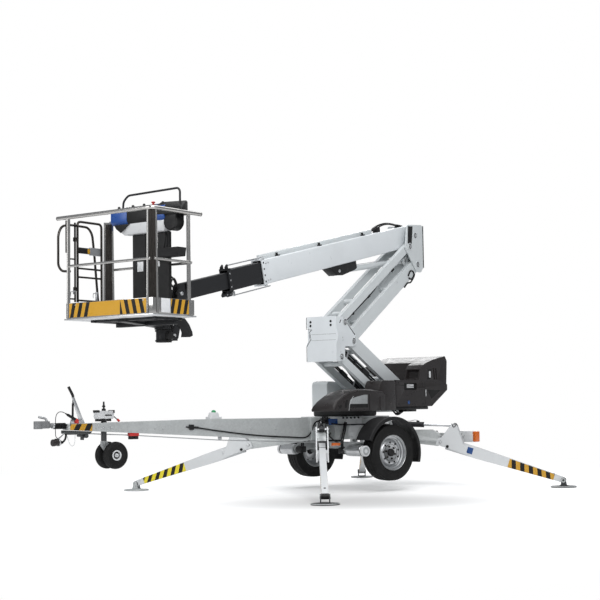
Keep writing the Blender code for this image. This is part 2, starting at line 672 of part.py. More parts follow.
arm_pair("lower_arm", B1, K1, LOW_BAND, 0.088, (0.30, 1.00))
arm_pair("lower_link", B2, K2, LOW_BAND, 0.050, (1.08,))
arm_pair("upper_arm", K1, T1, UP_BAND, 0.085, (0.45, 1.25))
arm_pair("upper_link", U2, T2, UP_BAND, 0.050, (0.20, 0.50))

# Middle knuckle
front_plate = [(-0.222, 0.285), (-0.222, 0.175), (-0.19, 0.135), (-0.17, 0.045), (-0.222, -0.045),
               (-0.222, -0.245), (0.206, -0.245), (0.206, -0.045), (0.235, 0.045),
               (0.206, 0.135), (0.206, 0.285)]
front_plate = [(t, K1[1] + up) for t, up in front_plate]
knuckle_cheek = off(K1, [(0.36, 0.28), (0.21, 0.28), (-0.05, 0.075), (-0.06, -0.035), (0.01, -0.065),
                         (0.19, -0.065), (0.19, -0.225), (0.24, -0.243), (0.36, -0.243)])
eye_lug = off(LIFT_EYE, [(0.235, 0.06), (-0.015, 0.06), (-0.055, 0.0), (-0.015, -0.06), (0.235, -0.06)])
node("middle_knuckle", "white_paint", [
    plate(front_plate, K1[0] + 0.353, K1[0] + 0.368, "yz"),
    *both_sides(CHEEK, rounded(knuckle_cheek, 0.025, sharp=(0, 8))),
    *both_sides(RAM_LUG, rounded(eye_lug, 0.02, sharp=(0, 4))),
    cross_pin(K1, PIN_REACH, PIN_R),
    cross_pin(K2, PIN_REACH, PIN_R),
    cross_pin(U2, PIN_REACH, PIN_R),
], parent=SLEW)


def cylinder(name, base, eye, rod_shown, barrel_r, rod_r):
    """A ram: its barrel turns about the base pin and its rod slides out to the eye."""
    b3, e3 = Vector((base[0], 0, base[1])), Vector((eye[0], 0, eye[1]))
    run = e3 - b3
    length = run.length
    axis = empty(name + "_axis", b3, (0, math.atan2(-run.z, run.x), 0), SLEW)
    boss = barrel_r * 0.95
    bore = rod_r + 0.005
    mouth = length - rod_shown
    node(name + "_barrel", "black_steel", [
        cross_pin((0, 0), RAM_EYE_HALF, boss),
        rod((0.02, 0, 0), (mouth, 0, 0), barrel_r, 28),
    ], [cross_pin((0, 0), 0.1, RAM_PIN_R + PIN_GAP), rod((0.06, 0, 0), (mouth + 0.1, 0, 0), bore, 24)],
         parent=axis)
    node(name + "_rod", "chrome", [
        rod((0.13, 0, 0), (length - 0.02, 0, 0), rod_r, 24),
        rod((0.13, 0, 0), (0.16, 0, 0), bore - PIN_GAP, 24),
        cross_pin((length, 0), RAM_EYE_HALF, boss),
    ], [cross_pin((length, 0), 0.1, RAM_PIN_R + PIN_GAP)], parent=axis)


cylinder("lift_cylinder", LIFT_BASE, LIFT_EYE, 0.146, LIFT_BARREL_R, LIFT_ROD_R)

# Top knuckle
top_cheek = off(LUFF, [(-0.17, 0.152), (0.19, 0.122)]) + off(T2, [(0.11, -0.028)])
top_cheek += off(T1, [(0.03, -0.098), (-0.08, -0.098), (-0.14, -0.028)])
BACK_S = T1[0] - 0.125
luff_lug = [(BACK_S - 0.005, LUFF_BASE[1] + 0.07)]
luff_lug += off(LUFF_BASE, [(-0.03, 0.055), (0.045, 0.02), (0.04, -0.045), (-0.03, -0.06)])
luff_lug += [(BACK_S - 0.005, LUFF_BASE[1] - 0.06)]
top_parts = [
    *both_sides(TOP_CHEEK, rounded(top_cheek, 0.03)),
    *both_sides(RAM_LUG, rounded(luff_lug, 0.02, sharp=(0, 5))),
    box(BACK_S - 0.03, BACK_S, -TOP_CHEEK[1], TOP_CHEEK[1], T1[1] - 0.038, LUFF[1] + 0.142),
    cross_pin(T1, TOP_CHEEK[1] - 0.005, PIN_R),
    cross_pin(LUFF, TOP_CHEEK[1] - 0.005, PIN_R),
    cross_pin(LUFF_BASE, RAM_PIN_REACH, RAM_PIN_R),
]
for side in (-1, 1):
    top_parts.append(rod((T2[0], side * 0.0745, T2[1]), (T2[0], side * 0.145, T2[1]), PIN_R))
node("top_knuckle", "white_paint", top_parts, parent=SLEW)

# Main boom
BOOM = empty("boom_axis", (LUFF[0], 0, LUFF[1]), (0, math.radians(BOOM_DIP), 0), SLEW)


def section(half_t, half_w, rear, front, wall):
    """A box section of the boom and the hollow inside it."""
    bore = box(rear - 0.1, front + 0.1, wall - half_t, half_t - wall, wall - half_w, half_w - wall)
    return box(rear, front, -half_t, half_t, -half_w, half_w), bore


def wear_pads(front, half_t, inner_w, wall_w):
    """The pads at the mouth of a section, on which the next section slides."""
    pads = []
    for side in (-1, 1):
        low, high = sorted((side * (inner_w + RUN_GAP), side * wall_w))
        pads.append(box(front - 0.10, front - 0.01, -half_t, half_t, low, high))
    return pads


outer, bore = section(OUTER_HALF_T, OUTER_HALF_W, OUTER_REAR, OUTER_FRONT, OUTER_WALL)
eye_lug = [(LUFF_EYE_U - 0.31, 0.002 - OUTER_HALF_W), (LUFF_EYE_U + 0.33, 0.002 - OUTER_HALF_W),
           (LUFF_EYE_U + 0.21, LUFF_EYE_W - 0.045), (LUFF_EYE_U - 0.07, LUFF_EYE_W - 0.057),
           (LUFF_EYE_U - 0.29, LUFF_EYE_W + 0.005)]
node("boom_outer", "white_paint", [
    outer,
    box(OUTER_FRONT - 0.045, OUTER_FRONT, -OUTER_HALF_T - 0.010, OUTER_HALF_T + 0.010,
        -OUTER_HALF_W - 0.016, OUTER_HALF_W + 0.016),
    cross_pin((0, 0), OUTER_HALF_T + 0.007, 0.05),
    box(0.9, 3.10, -0.060, -0.010, OUTER_HALF_W - 0.002, OUTER_HALF_W + 0.052),
    *both_sides((0.048, 0.060), rounded(eye_lug, 0.02, sharp=(0, 1))),
], [bore, cross_pin((0, 0), 0.2, PIN_R + PIN_GAP)], parent=BOOM,
     inside=wear_pads(OUTER_FRONT, 0.030, TELE1_HALF_W, OUTER_HALF_W - 0.004))

outer, bore = section(TELE1_HALF_T, TELE1_HALF_W, 0.10, TELE1_FRONT, TELE_WALL)
node("boom_middle", "black_steel", [
    outer,
    box(TELE1_FRONT - 0.05, TELE1_FRONT, -TELE1_HALF_T - 0.008, TELE1_HALF_T + 0.008,
        -TELE1_HALF_W - 0.015, TELE1_HALF_W + 0.015),
], [bore], parent=BOOM, inside=wear_pads(TELE1_FRONT, 0.020, TELE2_HALF_W, TELE1_HALF_W - 0.003))
outer, bore = section(TELE2_HALF_T, TELE2_HALF_W, 0.25, TELE2_FRONT, TELE_WALL)
TIP_EYE = (TELE2_FRONT - 0.02, -0.01)
hollow = TELE2_HALF_W - TELE_WALL
node("boom_inner", "black_steel", [outer, cross_pin(TIP_EYE, TELE2_HALF_T, 0.05)], [
    box(0.1, TELE2_FRONT - 0.12, TELE_WALL - TELE2_HALF_T, TELE2_HALF_T - TELE_WALL, -hollow, hollow),
    box(TELE2_FRONT - 0.13, TELE2_FRONT + 0.1, -0.026, 0.026, -hollow, hollow),
    cross_pin(TIP_EYE, 0.1, LEVEL_PIN_R + PIN_GAP),
], parent=BOOM)


def from_boom(u, w):
    """Where a point of the boom's own frame lies in s and z."""
    dip = math.radians(BOOM_DIP)
    return (LUFF[0] + u * math.cos(dip) + w * math.sin(dip),
            LUFF[1] - u * math.sin(dip) + w * math.cos(dip))


cylinder("luff_cylinder", LUFF_BASE, from_boom(LUFF_EYE_U, LUFF_EYE_W), 0.125, LUFF_BARREL_R, LUFF_ROD_R)

# Levelled platform bracket and rotator
LEVEL = from_boom(*TIP_EYE)
SWIVEL_S = LEVEL[0] + SWIVEL_FROM_LEVEL
PLAT_Z = LEVEL[1] + FLOOR_FROM_LEVEL
hanger = off(LEVEL, [(-0.05, 0.03), (0.05, 0.05), (SWIVEL_FROM_LEVEL - 0.10, -0.382),
                     (SWIVEL_FROM_LEVEL - 0.02, -0.382), (SWIVEL_FROM_LEVEL - 0.02, -0.507),
                     (0.06, -0.467), (-0.05, -0.05)])
node("platform_bracket", "black_steel", [
    cross_pin(LEVEL, 0.060, LEVEL_PIN_R),
    *both_sides((0.047, 0.060), rounded(hanger, 0.03, sharp=(2, 3, 4))),
    box(LEVEL[0] + 0.07, SWIVEL_S - 0.02, -0.060, 0.060, PLAT_Z - 0.217, PLAT_Z - 0.157),
    rod((SWIVEL_S, 0, PLAT_Z - 0.237), (SWIVEL_S, 0, PLAT_Z - 0.107), 0.070, 32),
    rod((SWIVEL_S, 0, PLAT_Z - 0.147), (SWIVEL_S, 0, PLAT_Z - 0.062), 0.030, 24),
], parent=SLEW)

# Work platform, from its swivel axis and the floor's top
PLAT = empty("platform_axis", (SWIVEL_S, 0, PLAT_Z), parent=SLEW)
BACK_X, FRONT_X = PLAT_FROM_SWIVEL, PLAT_FROM_SWIVEL + PLAT_DEPTH
HT = PLAT_HALF_T
TOP = PLAT_RISE
FLOOR_ARM = [(0.0, -0.097), (0.0, -0.037), (FRONT_X - 0.06, -0.037), (FRONT_X - 0.06, -0.058)]
node("platform_floor", "black_steel", [
    rod((0, 0, -0.105), (0, 0, -0.037), 0.070, 32),
    plate(FLOOR_ARM, -0.05, 0.05),
    box(BACK_X + 0.08, BACK_X + 0.14, -0.45, 0.45, -0.082, -0.037),
    box(FRONT_X - 0.14, FRONT_X - 0.08, -0.45, 0.45, -0.060, -0.037),
    box(BACK_X, FRONT_X, -HT, HT, -0.042, -0.002),
], [rod((0, 0, -0.197), (0, 0, -0.052), 0.031, 24)], parent=PLAT)

RAIL_IN = TOP_RAIL_R
TOP_Z = TOP - TOP_RAIL_R
rails = [frame_strip((BACK_X + RAIL_IN, RAIL_IN - HT), (FRONT_X - RAIL_IN, HT - RAIL_IN), 0.004,
                     -0.0012, TOE_UP)]
for x, out_x in ((BACK_X, -1), (FRONT_X, 1)):
    for out_y in (-1, 1):
        across = Vector((-out_y, out_x)).normalized()
        inward = Vector((-out_x, -out_y)).normalized()
        face = Vector((x, out_y * HT)) + inward * (POST_WIDE[0] / 2)
        corners = []
        for z, wide in ((-0.0017, POST_WIDE[0]), (TOP_Z, POST_WIDE[1])):
            for a, b in ((0.5, 0.008), (0.42, 0.0), (-0.42, 0.0), (-0.5, 0.008),
                         (-0.5, POST_THICK), (0.5, POST_THICK)):
                p = face + across * (a * wide) + inward * b
                corners.append((p.x, p.y, z))
        rails.append(hull(corners))
front, left = FRONT_X - RAIL_IN, HT - RAIL_IN
bend = 0.06
top_rail = [(front, -HT - 0.11), (front, left - bend), (front - bend * 0.13, left - bend * 0.5),
            (front - bend * 0.5, left - bend * 0.13), (front - bend, left), (BACK_X - 0.10, left)]
rails.append(tube_path([(x, y, TOP_Z) for x, y in top_rail], TOP_RAIL_R, 10))
back = BACK_X + RAIL_IN
rails.append(rod((back, -HT + 0.045, TOP_Z), (back, HT - 0.045, TOP_Z), 0.0165, 16))
for ends in (((front, -HT + 0.045), (front, HT - 0.045)), ((front - 0.03, left), (back + 0.03, left)),
             ((back, -HT + 0.045), (back, HT - 0.045))):
    (x0, y0), (x1, y1) = ends
    rails.append(rod((x0, y0, MID_RAIL_UP), (x1, y1, MID_RAIL_UP), MID_RAIL_R, 14))
hoop = [(front - 0.02, -HT + 0.05, 0.47), (front - 0.02, -HT - 0.07, 0.48), (front + 0.028, -HT - 0.07, 0.53),
        (front + 0.028, -HT - 0.07, 0.85), (front - 0.02, -HT - 0.07, 0.935),
        (front - 0.13, -HT - 0.07, 0.957), (front - 0.39, -HT - 0.07, 0.954),
        (front - 0.45, -HT - 0.07, 0.89), (front - 0.48, -HT - 0.07, 0.68),
        (front - 0.53, -HT - 0.07, 0.22), (front - 0.53, -HT - 0.04, 0.125), (front - 0.53, -HT + 0.02, 0.11)]
rails.append(tube_path(hoop, 0.0125, 8))
hinge_x, gate_y = FRONT_X - GATE_HINGE_IN, RAIL_IN - HT
rails.append(rod((hinge_x, gate_y, 0.17), (hinge_x, gate_y, 0.97), GATE_PIN_R, 12))
for z in (0.20, 0.60, 0.94):
    rails.append(rod((hinge_x, gate_y, z), (front - 0.045, gate_y, z), 0.008, 10))
node("platform_rails", "polished", rails, parent=PLAT)

# Entry gate: an upright hoop with two sleeves on the hinge bar, opening inwards
GATE = empty("gate_axis", (hinge_x, gate_y, 0.0), parent=PLAT)
near_x, far_x = -0.036, BACK_X + 0.125 - hinge_x
gate = [tube_path([(near_x, 0, 0.17), (near_x, 0, 0.955), (near_x - 0.03, 0, 0.985), (far_x + 0.03, 0, 0.985),
                   (far_x, 0, 0.955), (far_x, 0, 0.17)], 0.0125, 8)]
for z in (0.30, 0.80):
    gate.append(turned([(z - 0.02, GATE_PIN_R + PIN_GAP), (z - 0.02, 0.020), (z + 0.02, 0.020),
                        (z + 0.02, GATE_PIN_R + PIN_GAP)], (0, 0, 0), (0, 0, 1), 24))
    gate.append(box(near_x - 0.005, -0.016, -0.006, 0.006, z - 0.015, z + 0.015))
for z in (0.19, 0.425, 0.513):
    gate.append(rod((near_x, 0, z), (far_x, 0, z), 0.010, 10))
gate.append(box(far_x - 0.004, near_x + 0.004, -0.006, 0.006, 0.665, 0.725))
node("entry_gate", "polished", gate, parent=GATE)

# Platform control console on its column
desk = [(BACK_X + 0.05, 0.945), (BACK_X + 0.05, 1.125), (BACK_X + 0.09, 1.135), (BACK_X + 0.215, 1.085),
        (BACK_X + 0.215, 0.975), (BACK_X + 0.19, 0.945)]
dome = [(0.07, 0.22, 1.0), (0.07, 0.505, 1.0), (0.07, 0.24, 1.14), (0.07, 0.51, 1.16), (0.12, 0.24, 1.165),
        (0.12, 0.515, 1.165), (0.21, 0.24, 1.09), (0.21, 0.53, 1.08), (0.22, 0.22, 1.0), (0.22, 0.535, 1.0)]
belly = [(0.055, -0.33, 0.95), (0.055, 0.50, 0.95), (0.20, -0.33, 0.95), (0.20, 0.50, 0.95),
         (0.07, -0.22, 0.84), (0.07, 0.42, 0.84), (0.17, -0.22, 0.84), (0.17, 0.42, 0.84)]
guard_bar = [(BACK_X + 0.13, -0.265, 1.08), (BACK_X + 0.13, -0.255, 1.19), (BACK_X + 0.13, -0.19, 1.246),
             (BACK_X + 0.13, 0.475, 1.258), (BACK_X + 0.13, 0.50, 1.23), (BACK_X + 0.13, 0.50, 1.03)]
node("control_box", "black_plastic", [
    plate(desk, -0.357, 0.36),
    hull([(BACK_X + x, y, z) for x, y, z in dome]),
    hull([(BACK_X + x, y, z) for x, y, z in belly]),
    tube_path(guard_bar, 0.011, 8),
], parent=PLAT)
node("console_column", "black_steel", [
    box(BACK_X + 0.085, BACK_X + 0.125, -0.137, 0.033, -0.0017, 0.84 - GAP),
    box(BACK_X + 0.085, BACK_X + 0.125, 0.132, 0.344, -0.0017, 0.84 - GAP),
    box(BACK_X + 0.090, BACK_X + 0.120, 0.0, 0.16, 0.10, 0.18),
    box(BACK_X + 0.090, BACK_X + 0.120, 0.0, 0.16, 0.60, 0.68),
], parent=PLAT)
tray = [(0.1253, 0.18, 0.575), (0.1253, 0.56, 0.575), (0.23, 0.18, 0.575), (0.23, 0.56, 0.575),
        (0.1253, 0.15, 0.66), (0.1253, 0.575, 0.66), (0.26, 0.15, 0.66), (0.26, 0.575, 0.66)]
tray_hollow = [(0.14, 0.195, 0.590), (0.14, 0.545, 0.590), (0.22, 0.195, 0.590), (0.22, 0.545, 0.590),
               (0.14, 0.16, 0.70), (0.14, 0.565, 0.70), (0.253, 0.16, 0.70), (0.253, 0.565, 0.70)]
node("tool_tray", "grey_plastic", [hull([(BACK_X + x, y, z) for x, y, z in tray])],
     [hull([(BACK_X + x, y, z) for x, y, z in tray_hollow])], parent=PLAT)

# Turntable covers, from the first arm pivot along s
COVER_Z = PLATE_TOP + GAP
hood_low = [(0.544, 0.967), (0.544, 1.29), (-0.13, 1.29), (-0.676, 1.245), (-0.686, 1.235),
            (-0.686, 1.172), (-0.295, 0.967)]
hood_top = [(0.005, 1.28), (-0.043, 1.43), (-0.098, 1.48), (-0.196, 1.513), (-0.320, 1.546),
            (-0.470, 1.574), (-0.647, 1.602), (-0.695, 1.539), (-0.672, 1.24)]
notch = [(0.70, 0.90), (-0.146, 0.90), (-0.146, 1.27), (-0.186, 1.35), (-0.236, 1.9), (0.70, 1.9)]
mouth = [(0.10, 1.315), (-0.075, 1.315), (-0.075, 1.40), (-0.03, 1.435), (0.10, 1.435)]
recess = [(0.357, 1.169), (0.357, 1.254), (0.057, 1.254), (0.057, 1.169)]
slots = [[(-0.331, 1.445), (-0.371, 1.445), (-0.391, 1.30), (-0.351, 1.30)],
         [(-0.385, 1.445), (-0.425, 1.445), (-0.445, 1.30), (-0.405, 1.30)]]


def cover(points):
    return [(B1[0] + a, z) for a, z in points]


hood_cuts = [plate(cover(notch), -HOOD_NOTCH, HOOD_NOTCH)]
hood_cuts += both_sides((0.235, 0.405), cover(mouth))
hood_cuts += both_sides((HOOD_HALF_T - 0.018, 0.6), rounded(cover(recess), 0.02))
for slot in slots:
    hood_cuts += both_sides((HOOD_HALF_T - 0.012, 0.6), rounded(cover(slot), 0.01))
node("rear_hood", "black_plastic", [
    plate(rounded(cover(hood_low), 0.02, sharp=(0, 1, 2, 3)), -HOOD_HALF_T, HOOD_HALF_T),
    plate(rounded(cover(hood_top), 0.02, sharp=(0, 8)), 0.004 - HOOD_HALF_T, HOOD_HALF_T - 0.004),
], hood_cuts, parent=SLEW)
panel = cover([(0.546, COVER_Z), (0.546, 1.29), (0.84, 1.285), (0.90, 1.22), (0.905, COVER_Z)])
bonnet = []
for s, low_t, high_t, top_t, z in ((BONNET_REAR, 0.215, 0.50, 0.47, 1.16), (0.15, 0.21, 0.50, 0.475, 1.178),
                                   (0.42, 0.20, 0.50, 0.476, 1.193), (0.90, 0.18, 0.50, 0.474, 1.174)):
    bonnet += [(s, low_t, z - 0.02), (s, low_t + 0.03, z), (s, top_t, z), (s, high_t, z - 0.05)]
for s, low_t in ((BONNET_REAR, 0.215), (0.95, 0.178)):
    bonnet += [(s, low_t, COVER_Z), (s, 0.50, COVER_Z)]
bonnet += [(0.95, 0.19, 1.10), (0.95, 0.49, 1.10)]
node("side_cover", "black_plastic", [
    plate(rounded(panel, 0.03, sharp=(0, 1, 4)), 0.215, HOOD_HALF_T),
    hull(bonnet),
], parent=SLEW)
node("far_cover", "white_paint", [
    plate(rounded([(COVER_SEAM + 0.002, COVER_Z), (COVER_SEAM + 0.002, 1.285), (0.03, 1.285), (0.06, 1.255),
                   (0.06, COVER_Z)], 0.03, sharp=(0, 1, 4)), -0.44, -0.215),
], parent=SLEW)

bpy.context.view_layer.update()
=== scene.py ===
"""Looks of the towable boom lift: its finishes, small parts and hoses, around the fixed frame."""
import json
from math import atan2, cos, pi, radians, sin

import bmesh
import bpy
from mathutils import Matrix, Vector


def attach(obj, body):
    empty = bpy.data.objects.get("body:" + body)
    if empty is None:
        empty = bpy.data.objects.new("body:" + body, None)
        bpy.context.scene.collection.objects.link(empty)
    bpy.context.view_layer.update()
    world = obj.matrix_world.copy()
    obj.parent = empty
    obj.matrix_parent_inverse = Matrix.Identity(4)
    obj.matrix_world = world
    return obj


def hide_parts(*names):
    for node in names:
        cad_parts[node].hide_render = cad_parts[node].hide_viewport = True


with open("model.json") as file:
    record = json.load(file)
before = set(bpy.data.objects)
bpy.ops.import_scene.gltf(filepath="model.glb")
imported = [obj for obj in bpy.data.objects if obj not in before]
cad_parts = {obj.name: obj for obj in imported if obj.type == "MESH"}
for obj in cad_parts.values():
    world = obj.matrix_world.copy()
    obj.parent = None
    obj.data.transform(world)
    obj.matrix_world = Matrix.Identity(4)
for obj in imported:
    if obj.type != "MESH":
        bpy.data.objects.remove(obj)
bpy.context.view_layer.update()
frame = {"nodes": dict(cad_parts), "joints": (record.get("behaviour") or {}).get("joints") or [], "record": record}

# Driving places, read from the frame
JOINTS = {joint["name"]: joint for joint in frame["joints"]}
ORIGIN_X = JOINTS["slew"]["pos_m"][0]
SLEW = radians(15.6)
DIP = radians(12.37)
CHASSIS = Matrix.Translation((ORIGIN_X, 0, 0))
SUPER = CHASSIS @ Matrix.Rotation(SLEW, 4, "Z")
BOOM = (Matrix.Translation(JOINTS["boom_luff"]["pos_m"]) @ Matrix.Rotation(SLEW, 4, "Z")
    @ Matrix.Rotation(DIP, 4, "Y"))

# The photograph's camera: focal length and height fitted to the lift's own known points
LENS_MM = 83.15
SENSOR_MM = 36.0
CAMERA_PLACE = (9.6536, 12.7231, 1.024)
CAMERA_AZIMUTH = radians(51.629)
CAMERA_PITCH = radians(4.271)
CAMERA_ROLL = radians(-0.846)


# Camera, floor and light


def set_camera():
    back = Vector((cos(CAMERA_AZIMUTH), sin(CAMERA_AZIMUTH), 0))
    right = Vector((-sin(CAMERA_AZIMUTH), cos(CAMERA_AZIMUTH), 0))
    ahead = Vector((0, 0, sin(CAMERA_PITCH))) - back * cos(CAMERA_PITCH)
    turn = Matrix((right, right.cross(ahead), -ahead)).transposed().to_4x4()
    data = bpy.data.cameras.new("photo_camera")
    data.sensor_fit = "HORIZONTAL"
    data.sensor_width = SENSOR_MM
    data.lens = LENS_MM
    camera = bpy.data.objects.new("photo_camera", data)
    camera.matrix_world = (Matrix.Translation(CAMERA_PLACE) @ turn @ Matrix.Rotation(CAMERA_ROLL, 4, "Z"))
    bpy.context.scene.collection.objects.link(camera)
    bpy.context.scene.camera = camera


def area_light(name, place, target, size, watts):
    data = bpy.data.lights.new(name, "AREA")
    data.shape = "RECTANGLE"
    data.size, data.size_y = size
    data.energy = watts
    light = bpy.data.objects.new(name, data)
    light.location = place
    light.rotation_euler = (Vector(target) - Vector(place)).to_track_quat("-Z", "Y").to_euler()
    bpy.context.scene.collection.objects.link(light)


def cleared_tree(owner):
    owner.use_nodes = True
    owner.node_tree.nodes.clear()
    return owner.node_tree


def add_node(tree, kind, **values):
    """Adds a node; a value goes to the socket of its name, or else to the setting of its name."""
    node = tree.nodes.new("ShaderNode" + kind)
    for key, value in values.items():
        socket = key.replace("_", " ")
        if socket in node.inputs:
            node.inputs[socket].default_value = value
        else:
            setattr(node, key, value)
    return node


def link_all(tree, *pairs):
    """Links outputs to inputs; a node alone stands for its first output or input."""
    for out, into in pairs:
        tree.links.new(getattr(out, "outputs", [out])[0], getattr(into, "inputs", [into])[0])


def set_light():
    for name, place, target, size, watts in (("key_light", (4.0, 9.0, 8.0), (0, 0, 1), (6, 5), 700),
            ("fill_light", (10.0, 1.0, 5.0), (0, 0, 1), (6, 5), 330),
            ("top_light", (-1.0, 0.5, 9.0), (0, 0, 0), (9, 7), 430),
            ("back_light", (-8.0, -6.0, 6.0), (0, 0, 1.5), (6, 5), 300)):
        area_light(name, place, target, size, watts)
    world = bpy.data.worlds.new("studio")
    tree = cleared_tree(world)
    seen = add_node(tree, "Background", Color=(1, 1, 1, 1), Strength=1.0)
    ambient = add_node(tree, "Background", Color=(0.93, 0.96, 1.0, 1), Strength=0.36)
    mix = add_node(tree, "MixShader")
    path = add_node(tree, "LightPath")
    either = add_node(tree, "Math", operation="MAXIMUM")
    link_all(tree, (path.outputs["Is Camera Ray"], either),
        (path.outputs["Is Transmission Ray"], either.inputs[1]), (either, mix), (ambient, mix.inputs[1]),
        (seen, mix.inputs[2]), (mix, add_node(tree, "OutputWorld")))
    bpy.context.scene.world = world
    bpy.context.scene.view_settings.view_transform = "Standard"


def set_floor():
    """White paper that glows into the background far out, with a painted soft grey shadow under the lift."""
    mesh = bpy.data.meshes.new("floor")
    far = 60.0
    mesh.from_pydata([(-far, -far, 0), (far, -far, 0), (far, far, 0), (-far, far, 0)], [], [(0, 1, 2, 3)])
    floor = bpy.data.objects.new("floor", mesh)
    bpy.context.scene.collection.objects.link(floor)
    material = bpy.data.materials.new("floor_paper")
    tree = cleared_tree(material)
    place = add_node(tree, "NewGeometry").outputs["Position"]
    seen = add_node(tree, "LightPath").outputs["Is Camera Ray"]
    paper = add_node(tree, "BsdfDiffuse")
    glow = add_node(tree, "Emission", Color=(1, 1, 1, 1))
    lift = add_node(tree, "Emission")
    lifted = add_node(tree, "AddShader")
    mix = add_node(tree, "MixShader")
    length = add_node(tree, "VectorMath", operation="LENGTH")
    fade = add_node(tree, "MapRange", interpolation_type="SMOOTHSTEP", From_Min=3.4, From_Max=8.5)
    both = add_node(tree, "Math", operation="MULTIPLY")
    share = add_node(tree, "Math", operation="MULTIPLY")
    share.inputs[1].default_value = 0.2
    # painted shadow: the paper's colour darkens in a soft ellipse under and in front of the lift, fixed to the
    # floor
    painted_shadow_place = add_node(tree, "Mapping", vector_type="TEXTURE", Location=(0.25, 1.75, 0),
        Rotation=(0, 0, radians(-38.4)), Scale=(2.9, 2.3, 1.0))
    painted_shadow_reach = add_node(tree, "VectorMath", operation="LENGTH")
    soft = add_node(tree, "MapRange", interpolation_type="SMOOTHERSTEP", To_Min=0.4, To_Max=0.96)
    link_all(tree, (seen, share), (share, lift.inputs["Strength"]), (place, painted_shadow_place), (painted_shadow_place, painted_shadow_reach),
        (painted_shadow_reach.outputs["Value"], soft), (soft, paper), (paper, lifted), (lift, lifted.inputs[1]),
        (place, length), (length.outputs["Value"], fade), (fade, both), (seen, both.inputs[1]), (both, mix),
        (lifted, mix.inputs[1]), (glow, mix.inputs[2]), (mix, add_node(tree, "OutputMaterial")))
    mesh.materials.append(material)


set_camera()
set_light()
set_floor()


# Finishes


class Shader:
    """A Principled material and the few node steps that the finishes share."""

    def __init__(self, name, colour, roughness, metallic=0.0, **sockets):
        self.material = bpy.data.materials.new(name)
        self.material.use_nodes = True
        self.tree = self.material.node_tree
        self.bsdf = self.tree.nodes["Principled BSDF"]
        self.bsdf.inputs["Base Color"].default_value = (*colour, 1)
        self.bsdf.inputs["Roughness"].default_value = roughness
        self.bsdf.inputs["Metallic"].default_value = metallic
        for socket, value in sockets.items():
            self.bsdf.inputs[socket.replace("_", " ")].default_value = value
        self.colour = (*colour, 1)
        self.material.diffuse_color = self.colour
        self.place = self.add("TexCoord").outputs["Object"]

    def add(self, kind, **values):
        return add_node(self.tree, kind, **values)

    def link(self, out, into):
        self.tree.links.new(out, into)

    def stretched(self, scale):
        mapping = self.add("Mapping")
        mapping.inputs["Scale"].default_value = scale
        self.link(self.place, mapping.inputs["Vector"])
        return mapping.outputs[0]

    def noise(self, scale, detail=3.0, place=None):
        noise = self.add("TexNoise", Scale=scale, Detail=detail)
        self.link(place or self.place, noise.inputs["Vector"])
        return noise.outputs["Fac"]

    def ranged(self, value, low, high, to_low=0.0, to_high=1.0):
        step = self.add("MapRange")
        for name, number in zip(("From Min", "From Max", "To Min", "To Max"), (low, high, to_low, to_high)):
            step.inputs[name].default_value = number
        self.link(value, step.inputs["Value"])
        return step.outputs[0]

    def tinted(self, value, colour, base=None):
        """Mixes another colour in where value is 1, and feeds the base colour."""
        mix = self.add("Mix", data_type="RGBA")
        mix.inputs[6].default_value = self.colour
        if base is not None:
            self.link(base, mix.inputs[6])
        mix.inputs[7].default_value = (*colour, 1)
        self.link(value, mix.inputs[0])
        self.link(mix.outputs[2], self.bsdf.inputs["Base Color"])
        return mix.outputs[2]

    def rough(self, value, low, high):
        self.link(self.ranged(value, 0.3, 0.7, low, high), self.bsdf.inputs["Roughness"])

    def bump(self, value, strength, distance):
        bump = self.add("Bump", Strength=strength, Distance=distance)
        self.link(value, bump.inputs["Height"])
        self.link(bump.outputs[0], self.bsdf.inputs["Normal"])


def paint(name, colour, roughness=0.34, wear=0.1):
    """Sprayed enamel: a slight cloud in the colour, orange peel and thin handling marks."""
    black = max(colour) < 0.03
    shader = Shader(name, colour, roughness, Coat_Weight=0.0 if black else 0.25, Coat_Roughness=0.18,
        Specular_IOR_Level=0.28 if black else 0.5)
    cloud = shader.noise(2.3, 5)
    darker = [c * 0.86 for c in colour]
    base = shader.tinted(shader.ranged(cloud, 0.45, 0.8, 0.0, 0.55), darker)
    marks = shader.noise(34.0, 8, shader.stretched((1.0, 1.0, 4.0)))
    dusty = [c * 0.62 + 0.015 for c in colour]
    shader.tinted(shader.ranged(marks, 0.64, 0.76, 0.0, wear * 3), dusty, base)
    shader.rough(shader.noise(9.0, 6), roughness - 0.07, roughness + 0.1)
    shader.bump(shader.noise(420.0, 2), 0.06, 0.0006)
    return shader.material


def zinc(name, colour, roughness=0.42):
    """Hot-dip galvanising: flat crystals of slightly different brightness, with white bloom."""
    shader = Shader(name, colour, roughness, 0.4)
    crystals = shader.add("TexVoronoi", Scale=55.0)
    shader.link(shader.place, crystals.inputs["Vector"])
    single = shader.add("SeparateColor")
    shader.link(crystals.outputs["Color"], single.inputs[0])
    base = shader.tinted(shader.ranged(single.outputs[0], 0.1, 0.9, 0.0, 0.45), [c * 0.8 for c in colour])
    bloom = shader.ranged(shader.noise(4.0, 8), 0.5, 0.72, 0.0, 0.5)
    shader.tinted(bloom, [min(1.0, c * 1.16 + 0.03) for c in colour], base)
    shader.rough(single.outputs[1], roughness - 0.08, roughness + 0.12)
    shader.bump(shader.noise(160.0, 4), 0.08, 0.0008)
    return shader.material


def metal(name, colour, roughness, grain=(1.0, 1.0, 1.0), scale=220.0):
    """Bare metal, with its grain drawn out along the axis whose scale is small."""
    shader = Shader(name, colour, roughness, 1.0)
    lines = shader.noise(scale, 4, shader.stretched(grain))
    shader.tinted(shader.ranged(lines, 0.4, 0.75, 0.0, 0.45), [c * 0.7 for c in colour])
    shader.rough(lines, max(0.04, roughness - 0.06), roughness + 0.12)
    shader.bump(lines, 0.05, 0.0004)
    return shader.material


